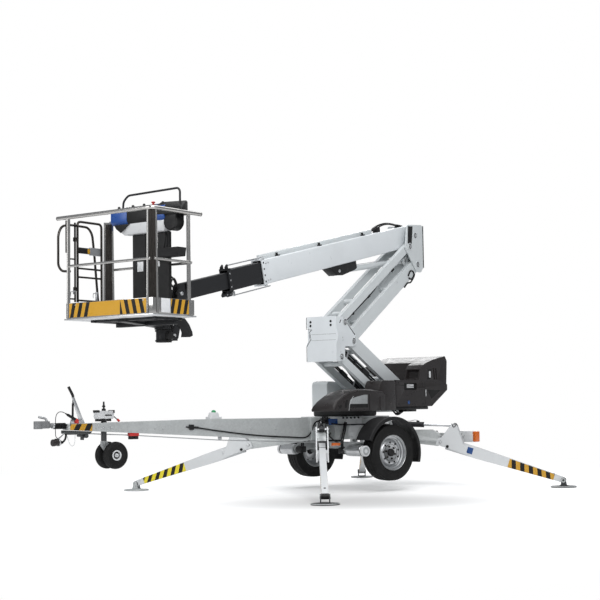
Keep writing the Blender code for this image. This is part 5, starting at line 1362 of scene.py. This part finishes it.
def side_cover():
    cover = Kit("side_cover_shell", "turntable", "charcoal")
    rows = ((-0.1195, 0.215, 0.47, 1.15), (0.15, 0.212, 0.474, 1.176), (0.42, 0.205, 0.474, 1.182),
        (0.6, 0.2, 0.472, 1.15), (0.74, 0.195, 0.47, 1.106), (0.86, 0.188, 0.468, 1.046),
        (0.93, 0.182, 0.47, 0.992))
    points = []
    for s, low, high, z in rows:
        points += [(s, low, z - 0.016), (s, low + 0.028, z), (s, high, z), (s, 0.5, z - 0.046)]
    for s in (-0.1195, 0.95):
        points += [(s, 0.184 if s > 0 else 0.215, 0.9275), (s, 0.5, 0.9275)]
    points += [(0.95, 0.184, 0.955), (0.95, 0.498, 0.95)]
    cover.hull(points, 0.01, 3)
    cover.prism([(-0.4672, 0.9278), (-0.4672, 1.262), (-0.44, 1.2885), (-0.178, 1.284), (-0.15, 1.272),
        (-0.112, 1.222), (-0.109, 0.9278)], 0.2155, 0.4295, 0.006, 3)
    cover.done("side_cover")
    # painted shade: near-black shapes stand for the slots in the side cover
    slots = Kit("side_cover_slots", "turntable", "dark")
    for s, low, high in ((0.835, 0.962, 1.0), (0.715, 0.968, 1.058)):
        middle = (low + high) / 2
        slots.prism([(s + ds + lean, z)
            for ds, lean, z in ((-0.02, 0, low), (0.02, 0, low), (-0.012, -0.03, high),
            (0.026, -0.03, high), (0.028, -0.01, middle), (-0.022, -0.012, middle))], 0.499, 0.501, 0.0)
    slots.done()
    # painted highlight: a thin light grey line along a curve of the dark cover
    Kit("side_cover_painted_highlight", "turntable", "leg_paint").tube(
        [(0.655, 0.5005, 0.935), (0.64, 0.5005, 1.0), (0.6, 0.5005, 1.06), (0.56, 0.5, 1.098)], 0.0028,
        10).done()


side_cover()

# Chassis: rollers, lamps, plates and lines

ROLLER_X, ROLLER_Z = 0.365, 0.475


def chassis_trim():
    for name, side in (("left", 1), ("right", -1)):
        def y(value):
            return side * value
        roller = Kit("drive_roller_" + name, "chassis", "bolt", "silver")
        roller.ring((ROLLER_X, y(0.508), ROLLER_Z), (ROLLER_X, y(0.74), ROLLER_Z), 0.0605, 0.056, 48, 0.003)
        for k in range(24):
            turn = 2 * pi * k / 24
            spot = Vector((ROLLER_X + 0.06 * cos(turn), y(0.52), ROLLER_Z + 0.06 * sin(turn)))
            roller.rod(spot, spot + Vector((0, y(0.17), 0)), 0.0022, segments=8, ease=0.0005)
        roller.done()
        motor = Kit("drive_motor_" + name, "chassis", "soft_black", "black_steel")
        motor.ring((ROLLER_X, y(0.742), ROLLER_Z), (ROLLER_X, y(0.756), ROLLER_Z), 0.059, 0.02, 48, 0.002)
        motor.ring((ROLLER_X, y(0.756), ROLLER_Z), (ROLLER_X, y(0.785), ROLLER_Z), 0.044, 0.02, 48, 0.002)
        motor.rod((ROLLER_X, y(0.395), ROLLER_Z), (ROLLER_X, y(0.452), ROLLER_Z), 0.044, segments=40)
        motor.block(0.325, 0.405, y(0.345), y(0.4), 0.438, 0.512, 0.006)
        motor.done()
        bolts = Kit("drive_bolts_" + name, "chassis", "bolt")
        for k in range(4):
            turn = radians(90 * k + 45)
            bolts.bolt((ROLLER_X + 0.04 * cos(turn), y(0.452), ROLLER_Z + 0.036 * sin(turn)), (0, side, 0),
                0.006, 0.006)
            bolts.bolt((ROLLER_X + 0.052 * cos(turn), y(0.7935), ROLLER_Z + 0.052 * sin(turn)),
                (0, side, 0), 0.0045, 0.004)
        for x, z in ((0.12, 0.525), (0.2, 0.532)):
            bolts.bolt((x, y(0.56 if x < 0.15 else 0.5), z), (0, side, 0), 0.009, 0.007)
        bolts.done()
        hoses("drive_hose_" + name, "chassis",
            [[(0.35 + dx, y(0.372), 0.5), (0.352 + dx, y(0.368), 0.545 + dz),
            (0.335 + dx, y(0.362), 0.62 + dz), (0.3 + dx, y(0.352), 0.7 + dz), (0.27 + dx, y(0.335), 0.77),
            (0.25 + dx, y(0.318), 0.8)] for dx, dz in ((0.0, 0.0), (0.024, 0.01))], 0.0085)
        cap = Kit("drive_cap_" + name, "chassis", "label", "silver")
        cap.ring((ROLLER_X, y(0.752), ROLLER_Z), (ROLLER_X, y(0.7935), ROLLER_Z), 0.06, 0.0475, 48, 0.003)
        cap.rod((ROLLER_X, y(0.756), ROLLER_Z), (ROLLER_X, y(0.7925), ROLLER_Z), 0.0215, segments=32)
        cap.done()
        # side marker on its bracket, rear lamp and reflector
        bracket = Kit("marker_bracket_" + name, "chassis", "zinc")
        bracket.block(0.585, 0.715, y(0.4), y(0.585), 0.572, 0.577, 0.001)
        bracket.block(0.585, 0.715, y(0.58), y(0.585), 0.54, 0.577, 0.001)
        bracket.plate([(0.6, 0.577), (0.7, 0.577), (0.74, 0.6), (0.7, 0.64)], y(0.4), y(0.404))
        bracket.done()
        Kit("side_marker_" + name, "chassis", "orange_lens").block(
            0.59, 0.71, y(0.5855), y(0.612), 0.541, 0.574, 0.009).done()
        Kit("rear_lamp_body_" + name, "chassis", "label").block(
            -1.2625, -1.196, y(0.532), y(0.935), 0.533, 0.667, 0.01).done()
        lamp = Kit("rear_lamp_amber_" + name, "chassis", "orange_lens")
        lamp.block(-1.266, -1.198, y(0.935), y(0.992), 0.536, 0.664, 0.01)
        lamp.block(-1.267, -1.26, y(0.7), y(0.815), 0.603, 0.66, 0.002)
        lamp.done()
        lamp = Kit("rear_lamp_red_" + name, "chassis", "red_lens")
        lamp.block(-1.267, -1.26, y(0.545), y(0.815), 0.541, 0.6, 0.002)
        lamp.rod((-1.267, y(0.615), 0.632), (-1.26, y(0.615), 0.632), 0.026, segments=32)
        lamp.done()
    Kit("blank_blue_plate", "chassis", "blue_label").block(
        0.385, 0.52, 0.3195, 0.322, 0.772, 0.842, 0.001).done()
    plate = Kit("blank_plates", "chassis", "label")
    plate.block(-0.4, -0.26, 0.3195, 0.3212, 0.76, 0.83, 0.001)
    plate.block(-1.267, -1.264, -0.26, 0.26, 0.545, 0.655, 0.001)
    plate.done()
    Kit("number_plate_carrier", "chassis", "soft_black").block(
        -1.2645, -1.208, -0.275, 0.275, 0.535, 0.665, 0.006).done()
    bolts = Kit("chassis_bolts", "chassis", "bolt")
    for x in (-0.36, -0.18, 0.22, 0.36):
        for side in (-1, 1):
            bolts.bolt((x, side * 0.32, 0.64), (0, side, 0), 0.011, 0.008)
            bolts.bolt((x, side * 0.32, 0.83), (0, side, 0), 0.008, 0.006)
    for x, z in ((3.265, 0.8), (3.355, 0.8), (2.62, 0.775), (2.72, 0.775), (1.1, 0.74), (1.1, 0.68),
            (1.45, 0.75)):
        for side in (-1, 1):
            bolts.bolt((x, side * 0.065, z), (0, side, 0), 0.01, 0.007)
    for k in range(20):
        turn = radians(18 * k)
        bolts.bolt((0.318 * cos(turn), 0.318 * sin(turn) * 0.985, 0.865), (0, 0, 1), 0.0085, 0.006,
            washer=False)
    bolts.done()
    valve = Kit("valve_block", "chassis", "soft_black", "black_steel")
    valve.block(0.425, 0.475, 0.105, 0.235, 0.79, 0.85, 0.003)
    for y0 in (0.125, 0.155, 0.185, 0.215):
        valve.rod((0.474, y0, 0.825), (0.5, y0, 0.825), 0.01, segments=20)
        valve.rod((0.45, y0, 0.85), (0.45, y0, 0.868), 0.009, segments=20)
    valve.done()
    hoses("chassis_hose", "chassis",
        (((0.495, 0.155, 0.822), (0.53, 0.165, 0.79), (0.52, 0.19, 0.7), (0.49, 0.25, 0.64),
        (0.52, 0.33, 0.655), (0.56, 0.4, 0.68)),
        ((0.495, 0.185, 0.822), (0.545, 0.2, 0.77), (0.5, 0.24, 0.69), (0.44, 0.3, 0.6),
        (0.38, 0.33, 0.56)), ((0.495, 0.215, 0.822), (0.525, 0.24, 0.8), (0.49, 0.3, 0.79),
        (0.44, 0.335, 0.78), (0.25, 0.335, 0.77), (-0.1, 0.333, 0.77), (-0.38, 0.333, 0.76),
        (-0.45, 0.31, 0.72)), ((0.495, 0.125, 0.822), (0.56, 0.11, 0.79), (0.64, 0.078, 0.64),
        (0.9, 0.074, 0.64), (1.4, 0.074, 0.675), (1.9, 0.074, 0.735), (2.2, 0.074, 0.779))), 0.008)
    joint = Kit("hose_joint", "chassis", "soft_black", "black_steel")
    joint.rod((2.17, 0.076, 0.776), (2.24, 0.076, 0.782), 0.0125, segments=20)
    joint.block(2.23, 2.285, 0.063, 0.088, 0.755, 0.812, 0.004)
    joint.rod((2.28, 0.076, 0.785), (2.325, 0.07, 0.787), 0.01, 0.006, segments=20)
    for k in range(5):
        x = 0.07 + 0.058 * k
        joint.rod((x, 0.3, 0.845), (x, 0.3, 0.866), 0.01, segments=16)
        joint.rod((x, 0.318, 0.85), (x, 0.332, 0.85), 0.012, segments=16)
        joint.block(x - 0.015, x + 0.02, 0.295, 0.312, 0.862, 0.874, 0.002)
    joint.done()
    guard = Kit("hose_guard", "chassis", "leg_paint", "grey_steel")
    guard.plate([(0.02, 0.845), (0.25, 0.845), (0.262, 0.8), (0.215, 0.76), (0.235, 0.66), (0.205, 0.6),
        (0.13, 0.6), (0.1, 0.68), (0.055, 0.74), (0.02, 0.76)], 0.3205, 0.3275, bevel=0.002)
    guard.rod((0.17, 0.327, 0.655), (0.17, 0.345, 0.655), 0.026, segments=28)
    guard.rod((0.1, 0.327, 0.795), (0.1, 0.338, 0.795), 0.018, segments=28)
    guard.done()
    rod = Kit("brake_rod", "chassis", "bolt")
    rod.tube([(3.52, 0.0, 0.745), (2.99, 0.0, 0.715), (1.83, 0.0, 0.63), (0.14, 0.0, 0.552)], 0.006, 12)
    for x, z in ((2.99, 0.715), (1.83, 0.63)):
        rod.block(x - 0.012, x + 0.012, -0.022, 0.022, z - 0.004, z + 0.045, 0.002)
    rod.done()


chassis_trim()

# Legs: hydraulic lines, bolts and a blank plate


def leg_trim():
    drop = Matrix.Rotation(leg_tilt, 4, "Y")
    for corner in CORNERS:
        body, place = "leg_" + corner, leg_place(corner)
        dark = Kit("leg_dark_parts_" + corner, body, "soft_black", "black_steel", place)
        for side in (-1, 1):
            dark.rod((0.085, side * 0.069, -0.052), (0.085, side * 0.079, -0.052), 0.017, segments=24)
            dark.rod(LEG_RAM_EYE + Vector((0, side * 0.069, 0)), LEG_RAM_EYE + Vector((0, side * 0.076, 0)),
                0.021, segments=24)
        dark.done()
        inner = Kit("leg_fork_inside_" + corner, body, "soft_black", "black_steel", place @ drop)
        inner.hull([(x, y, z) for x, z0, z1 in ((-0.02, 0.03, 0.064), (0.235, 0.03, 0.058))
            for y in (-0.0545, 0.0545) for z in (z0, z1)], 0.003)
        inner.rod((0.225, -0.062, 0.058), (0.225, 0.062, 0.058), 0.014, segments=20)
        inner.done()
        tip = Kit("leg_tip_" + corner, body, "soft_black", place=place @ drop)
        tip.rod((1.375, 0, 0.0385), (1.375, 0, 0.0425), 0.013, segments=24)
        tip.ring((1.5033, -0.039, 0), (1.5033, 0.039, 0), 0.03, 0.012, 28)
        tip.done()
    Kit("leg_blank_plate", "leg_rear_left", "blue_label", place=leg_place("rear_left") @ drop).block(
        0.292, 0.398, -0.039, -0.0355, -0.03, 0.044, 0.001).done()
    for corner in CORNERS:
        Kit("leg_line_" + corner, "leg_barrel_" + corner, "hose", place=leg_place(corner)).tube(
            [(-0.545, 0.0, 0.262), (-0.53, 0.0, 0.285), (-0.58, 0.0, 0.3), (-0.66, 0.0, 0.285),
            (-0.7, 0.0, 0.235), (-0.72, 0.0, 0.18)], 0.0075, 12, 6).done()


leg_trim()

# Tow hitch details, with the free wire and rope below it


def hitch_trim():
    for name, y, slant in (("left", 0.065, -0.04), ("right", -0.0656, 0.04)):
        hazard("towbar_stripes_" + name, "chassis", CHASSIS @ Matrix.Translation((3.483, y, 0)),
            (0.26, 0.7715, 0.7875, 0.8505, 0.8475), slant, 0.0625, -0.0275, slot="grey_steel")
    Kit("jockey_head", "chassis", "label").prism(
        [(3.225, 0.893), (3.214, 0.915), (3.214, 0.978), (3.39, 0.978), (3.404, 0.965), (3.404, 0.915),
        (3.395, 0.893)], -0.052, 0.052, 0.005).done()
    cheeks = Kit("jockey_head_cheeks", "chassis", "soft_black", "black_steel")
    for x0, x1, z0, z1 in ((3.25, 3.295, 0.868, 0.895), (3.325, 3.385, 0.868, 0.895),
            (3.208, 3.226, 0.952, 0.985), (3.39, 3.409, 0.96, 0.986)):
        cheeks.block(x0, x1, -0.055, 0.055, z0, z1, 0.003)
    cheeks.rod((3.31, 0, 0.976), (3.31, 0, 1.0), 0.022, segments=32)
    cheeks.rod((3.31, 0, 1.018), (3.31, 0, 1.036), 0.02, 0.014, segments=32)
    cheeks.rod((3.222, 0.04, 0.925), (3.16, 0.05, 0.872), 0.0055, segments=20)
    cheeks.block(3.245, 3.325, 0.0515, 0.056, 0.925, 0.938, 0.002)
    cheeks.done()
    Kit("jockey_clamp_grip", "chassis", "red").rod(
        (3.174, 0.044, 0.888), (3.15, 0.051, 0.866), 0.0125, segments=24).done()
    lever = Kit("brake_lever_bar", "chassis", "bolt")
    lever.plate([(3.55, 0.853), (3.72, 0.8512), (3.705, 0.9), (3.575, 0.9)], 0.01, 0.03)
    lever.plate([(3.566, 0.885), (3.618, 0.885), (3.7, 1.12), (3.69, 1.14), (3.676, 1.136)], 0.013, 0.027,
        bevel=0.003)
    for x in (3.585, 3.688):
        lever.bolt((x, 0.03, 0.88), (0, 1, 0), 0.01, 0.007)
    lever.done("brake_lever")
    strut = Kit("brake_lever_strut", "chassis", "soft_black", "black_steel")
    strut.rod((3.69, 0.02, 0.88), (3.687, 0.02, 1.06), 0.011, segments=20)
    strut.rod((3.687, 0.02, 1.06), (3.685, 0.02, 1.13), 0.006, segments=20)
    strut.tube(spline([(3.684, 0.02, 1.125), (3.692, 0.02, 1.15), (3.737, 0.02, 1.23)], 6), 0.0145, 20)
    strut.done()
    box = Kit("damper_box", "chassis", "foot_steel", "black_steel")
    box.plate([(3.79, 0.7845), (3.79, 0.752), (3.74, 0.738), (3.5, 0.738), (3.47, 0.766)], -0.046, 0.046,
        bevel=0.004)
    box.rod((3.535, -0.04, 0.722), (3.535, 0.04, 0.722), 0.022, segments=32)
    box.rod((3.6, -0.03, 0.728), (3.6, 0.03, 0.728), 0.016, segments=32)
    box.block(3.555, 3.58, -0.02, 0.02, 0.68, 0.742, 0.003)
    box.done()
    Kit("breakaway_box_red", "chassis", "red").block(2.915, 3.03, 0.01, 0.062, 0.706, 0.741, 0.004).done()
    Kit("breakaway_box_black", "chassis", "soft_black").block(
        2.922, 2.97, 0.012, 0.06, 0.672, 0.7065, 0.004).block(2.985, 3.024, 0.012, 0.06, 0.672, 0.7065,
        0.004).done()
    level = Kit("level_stand", "chassis", "label")
    level.block(1.83, 1.99, -0.045, 0.045, 0.8665, 0.892, 0.005)
    level.prism([(1.85, 0.89), (1.865, 0.94), (1.955, 0.94), (1.97, 0.89)], -0.03, 0.03, 0.006)
    level.done()
    Kit("level_dome", "chassis", "green").turned(
        [(0, 0), (0, 0.026), (0.01, 0.026), (0.02, 0.021), (0.026, 0.011), (0.028, 0)], (1.91, 0, 0.939),
        (0, 0, 1), 32, closed=False).done()
    handle = Kit("coupling_handle", "chassis", "bolt")
    handle.tube(rounded_path([(3.972, 0, 0.872), (3.99, 0, 0.914), (4.068, 0, 0.926)], 0.02), 0.012, 16)
    for x in (3.925, 4.015):
        handle.rod((x, -0.0285, 0.838), (x, 0.0285, 0.838), 0.01, segments=20)
    handle.rod((3.897, 0, 0.83), (3.915, 0, 0.834), 0.03, segments=32)
    handle.done()
    plug = Kit("lighting_plug", "chassis", "charcoal")
    plug.turned([(0, 0), (0, 0.031), (0.006, 0.036), (0.03, 0.036), (0.034, 0.033), (0.06, 0.033),
        (0.064, 0.036), (0.084, 0.036), (0.1, 0.026), (0.1, 0)], (3.935, 0.03, 0.66), (-1, 0, 0.03), 40,
        closed=False)
    plug.block(3.872, 3.9, 0.02, 0.04, 0.6925, 0.703, 0.003)
    plug.done()
    boot = Kit("plug_boot", "chassis", "hose")
    boot.tube(spline([(3.838, 0.03, 0.662), (3.815, 0.03, 0.664), (3.79, 0.028, 0.682),
        (3.772, 0.022, 0.712), (3.764, 0.012, 0.748)], 5), 0.0105, 16)
    for k in range(5):
        boot.ring((3.834 - 0.006 * k, 0.03, 0.6625), (3.8315 - 0.006 * k, 0.03, 0.6625), 0.0165 - 0.001 * k,
            0.009, 20, 0.0005)
    boot.done()
    holder = Kit("plug_holder", "chassis", "bolt")
    holder.ring((3.862, 0.03, 0.6623), (3.85, 0.03, 0.6627), 0.0385, 0.034, 40)
    holder.plate([(3.85, 0.695), (3.866, 0.695), (3.786, 0.768), (3.77, 0.768)], 0.028, 0.032, bevel=0.0006)
    holder.done()
    switch = Kit("breakaway_switch", "chassis", "soft_black")
    switch.prism([(3.772, 0.936), (3.762, 0.956), (3.668, 0.905), (3.68, 0.88)], 0.034, 0.066, 0.005, 3)
    switch.rod((3.768, 0.05, 0.9455), (3.79, 0.05, 0.958), 0.009, 0.006, segments=24)
    switch.done()
    socket = Kit("breakaway_socket", "chassis", "red")
    socket.prism([(3.684, 0.884), (3.668, 0.908), (3.64, 0.886), (3.648, 0.856)], 0.032, 0.068, 0.004, 3)
    socket.block(3.64, 3.672, 0.03, 0.064, 0.853, 0.868, 0.002)
    socket.done()


hitch_trim()


def free_lines():
    """The breakaway wire and the safety rope: tubes along smooth routes."""
    for name, finish, radius, stiff, points in (("breakaway_wire", "hose", 0.0038, "stiff",
            [(3.789, 0.05, 0.9575), (3.815, 0.053, 0.969), (3.845, 0.056, 0.975), (3.872, 0.058, 0.97),
            (3.893, 0.059, 0.952), (3.905, 0.059, 0.92), (3.908, 0.058, 0.875), (3.908, 0.057, 0.82),
            (3.907, 0.056, 0.765), (3.903, 0.054, 0.73), (3.89, 0.051, 0.711), (3.872, 0.047, 0.707),
            (3.85, 0.042, 0.715), (3.824, 0.034, 0.731), (3.8, 0.024, 0.746), (3.776, 0.01, 0.768),
            (3.768, 0.006, 0.782)]), ("safety_rope", "leg_paint", 0.0028, "limp",
            [(3.752, -0.001, 0.778), (3.748, 0.0, 0.741), (3.74, 0.001, 0.715), (3.729, 0.002, 0.68),
            (3.716, 0.003, 0.646), (3.701, 0.004, 0.627), (3.684, 0.004, 0.622), (3.668, 0.003, 0.629),
            (3.658, 0.002, 0.65), (3.653, 0.001, 0.685), (3.651, 0.0, 0.715), (3.65, 0.0, 0.745),
            (3.65, 0.0, 0.775)])):
        path = spline(points, 5)
        kit = Kit(name, "chassis", finish, "rubber")
        kit.tube(path, radius, 12)
        piece = kit.done()


free_lines()

# Platform details


def platform_trim():
    front, left, back = PLAT_FRONT - RAIL_IN, PLAT_HALF - RAIL_IN, PLAT_BACK + RAIL_IN
    deck = Kit("deck_plate", "platform", "floor_plate")
    deck.block(PLAT_BACK + 0.002, PLAT_FRONT - 0.002, -PLAT_HALF + 0.002, PLAT_HALF - 0.002, -0.018,
        -0.0045, 0.002)
    for row in range(9):
        for column in range(17):
            x = PLAT_BACK + 0.07 + row * 0.062
            y = -0.51 + column * 0.0635
            lean = 0.012 if (row + column) % 2 else -0.012
            deck.hull([(x - 0.014, y - lean, -0.0046), (x + 0.014, y + lean, -0.0046),
                (x, y - 0.003, -0.0046), (x, y + 0.003, -0.0046), (x, y, -0.0025)], 0.0)
    deck.done("platform_floor")
    under = Kit("deck_frame", "platform", "black_steel")
    for x0, x1 in ((PLAT_BACK + 0.06, PLAT_BACK + 0.1), (PLAT_FRONT - 0.26, PLAT_FRONT - 0.22),
            (PLAT_BACK + 0.24, PLAT_BACK + 0.28)):
        under.block(x0, x1, -0.4, 0.44, -0.0415, -0.0178, 0.002)
    for y in (-0.42, 0.4):
        under.block(PLAT_BACK + 0.04, PLAT_FRONT - 0.2, y, y + 0.04, -0.0415, -0.0178, 0.002)
    under.block(PLAT_BACK + 0.08, PLAT_BACK + 0.14, -0.36, 0.42, -0.082, -0.037, 0.003)
    under.plate([(0.0, -0.097), (0.0, -0.037), (PLAT_FRONT - 0.2, -0.037), (PLAT_FRONT - 0.2, -0.05)],
        -0.05, 0.05)
    under.ring((0, 0, -0.105), (0, 0, -0.037), 0.07, 0.0312, 48)
    under.ring((0, 0, -0.1055), (0, 0, -0.092), 0.085, 0.0312, 48)
    under.done()
    bolts = Kit("platform_bolts", "platform", "bolt")
    for x in (PLAT_BACK + 0.1, PLAT_FRONT - 0.1):
        for y in (-0.42, -0.1, 0.1, 0.42):
            bolts.bolt((x, y, -0.0048), (0, 0, 1), 0.008, 0.0015, washer=False)
    for y in (-0.45, 0.45):
        bolts.bolt((front + TOE_FACE, y, 0.128), (1, 0, 0), 0.006, 0.004)
    for z in (0.05, 0.13):
        bolts.bolt((back + 0.05, left + 0.004, z), (0, 1, 0), 0.006, 0.004)
    bolts.done()
    # the front hook stays on the guard rail, the other one swings with the gate
    for name, body, x, foot in (("latch_hook", "platform", front - 0.085, 0.245),
            ("gate_hook", "entry_gate", front - 0.4, 0.182)):
        hook = Kit(name, body, "bolt", place=PLATFORM)
        hook.tube(rounded_path([(x, -0.545, 0.27), (x + 0.055, -0.545, 0.27), (x + 0.06, -0.545, 0.22)],
            0.01), 0.004, 10)
        hook.block(x - 0.01, x + 0.01, -0.562, -0.545, foot, 0.285, 0.001)
        hook.done()
    place = PLATFORM @ Matrix.Translation((PLAT_BACK, 0, 0))
    controls = Kit("console_controls", "platform", "soft_black", place=place)
    knobs = Kit("console_knobs", "platform", "red", place=place)
    plates = Kit("console_plates", "platform", "label", place=place)

    def desk(x):
        return 1.135 - (x - 0.09) * 0.05 / 0.125

    for y in (-0.29, -0.1, 0.05, 0.3):
        controls.rod((0.155, y, desk(0.155) - 0.004), (0.155, y, desk(0.155) + 0.012), 0.022, 0.018,
            segments=32)
        controls.turned([(0, 0), (0, 0.01), (0.006, 0.014), (0.015, 0.013), (0.02, 0.007), (0.021, 0)],
            (0.157, y, desk(0.155) + 0.01), (0, 0, 1), 28, closed=False)
    for k in range(4):
        y = -0.21 + 0.035 * k
        controls.rod((0.125, y, desk(0.125)), (0.125, y, desk(0.125) + 0.008), 0.009, segments=20)
    knobs.rod((0.115, 0.135, desk(0.115)), (0.115, 0.135, desk(0.115) + 0.02), 0.012, segments=24)
    knobs.rod((0.115, 0.135, desk(0.115) + 0.018), (0.115, 0.135, desk(0.115) + 0.03), 0.021, segments=32,
        ease=0.004)
    for y0, y1, z0, z1 in ((0.13, 0.225, 0.5, 0.555), (0.14, 0.2, 0.37, 0.48),
            (-0.075, 0.005, 0.465, 0.565)):
        plates.block(0.118, 0.1265, y0, y1, z0, z1)
    for kit in (controls, knobs, plates):
        kit.done()
    tray = Kit("tray_front", "platform", "label", "black_plastic", place)
    for y0, y1 in ((0.192, 0.262), (0.27, 0.352), (0.36, 0.442), (0.45, 0.53)):
        tray.block(0.2285, 0.2335, y0, y1, 0.588, 0.66, 0.002)
    tray.done()
    hoses("console_cable", "platform",
        (((0.1, -0.02, 0.845), (0.098, -0.03, 0.8), (0.075, -0.04, 0.7), (0.07, -0.045, 0.4),
        (0.072, -0.03, 0.1), (0.075, 0.0, 0.012)),
        ((0.1, 0.06, 0.845), (0.075, 0.07, 0.78), (0.068, 0.075, 0.6), (0.07, 0.07, 0.3),
        (0.072, 0.04, 0.08), (0.075, 0.02, 0.012)),
        ((0.12, 0.3, 0.845), (0.145, 0.32, 0.79), (0.15, 0.31, 0.7), (0.14, 0.28, 0.64),
        (0.129, 0.25, 0.6))), 0.007, place=place)
    Kit("gate_latch", "entry_gate", "rim", "polished").block(
        -0.356, -0.206, -0.0085, 0.0085, 0.655, 0.735, 0.003).done()
    Kit("gate_latch_knob", "entry_gate", "yellow").block(
        -0.206, -0.172, -0.0078, 0.0078, 0.668, 0.718, 0.003).done()
    # levelled bracket: rotator drum, hoses and bolts
    swivel_s = (SUPER.inverted() @ Vector(JOINTS["platform_swivel"]["pos_m"])).x
    tip = SUPER.inverted() @ Vector(JOINTS["platform_level"]["pos_m"])
    floor = PLATFORM.translation.z
    drum = Kit("rotator_drum", "bracket", "soft_black", "black_steel")
    drum.ring((swivel_s, 0, floor - 0.228), (swivel_s, 0, floor - 0.212), 0.078, 0.02, 48)
    drum.ring((swivel_s, 0, floor - 0.128), (swivel_s, 0, floor - 0.112), 0.08, 0.031, 48)
    drum.block(swivel_s - 0.035, swivel_s + 0.035, 0.066, 0.115, floor - 0.205, floor - 0.14, 0.004)
    drum.rod((swivel_s, 0.09, floor - 0.24), (swivel_s, 0.09, floor - 0.205), 0.022, segments=28)
    drum.plate([(3.165, 1.855), (3.165, 1.925), (3.1, 1.942), (3.03, 1.935), (2.975, 1.905), (2.915, 1.85),
        (2.868, 1.775), (2.862, 1.738), (2.905, 1.722), (3.045, 1.716), (3.035, 1.762), (3.06, 1.812),
        (3.12, 1.842)], 0.0605, 0.0685, bevel=0.003)
    drum.done()
    bolts = Kit("bracket_bolts", "bracket", "bolt")
    for k in range(8):
        turn = radians(45 * k + 20)
        bolts.bolt((swivel_s + 0.06 * cos(turn), 0.06 * sin(turn), floor - 0.228), (0, 0, -1), 0.007, 0.005)
    for side in (-1, 1):
        bolts.bolt((tip.x, side * 0.06, tip.z), (0, side, 0), 0.018, 0.009)
        for s, z in ((tip.x + 0.105, floor - 0.17), (tip.x + 0.165, floor - 0.2),
                (tip.x + 0.09, floor - 0.05)):
            bolts.bolt((s, side * 0.06, z), (0, side, 0), 0.008, 0.006)
    bolts.rod((swivel_s - 0.05, 0.088, floor - 0.16), (swivel_s - 0.09, 0.088, floor - 0.16), 0.01,
        segments=20)
    bolts.done()
    hoses("bracket_hose", "bracket",
        [[(tip.x + s, t, tip.z + z) for s, t, z in route]
        for route in (((0.02, 0.03, 0.02), (0.05, 0.034, 0.1), (0.1, 0.04, 0.15), (0.155, 0.05, 0.1),
        (0.175, 0.056, -0.05), (0.17, 0.064, -0.2), (0.165, 0.074, -0.33), (0.177, 0.085, -0.4)),
        ((0.01, 0.01, 0.03), (0.06, 0.012, 0.13), (0.12, 0.016, 0.165), (0.17, 0.02, 0.08),
        (0.185, 0.025, -0.08), (0.18, 0.035, -0.25), (0.19, 0.06, -0.36), (0.2, 0.08, -0.41)),
        ((0.02, -0.015, 0.02), (0.07, -0.018, 0.09), (0.13, -0.016, 0.11), (0.165, -0.01, 0.02),
        (0.165, 0.0, -0.12), (0.165, 0.01, -0.25)))], 0.0085)


platform_trim()
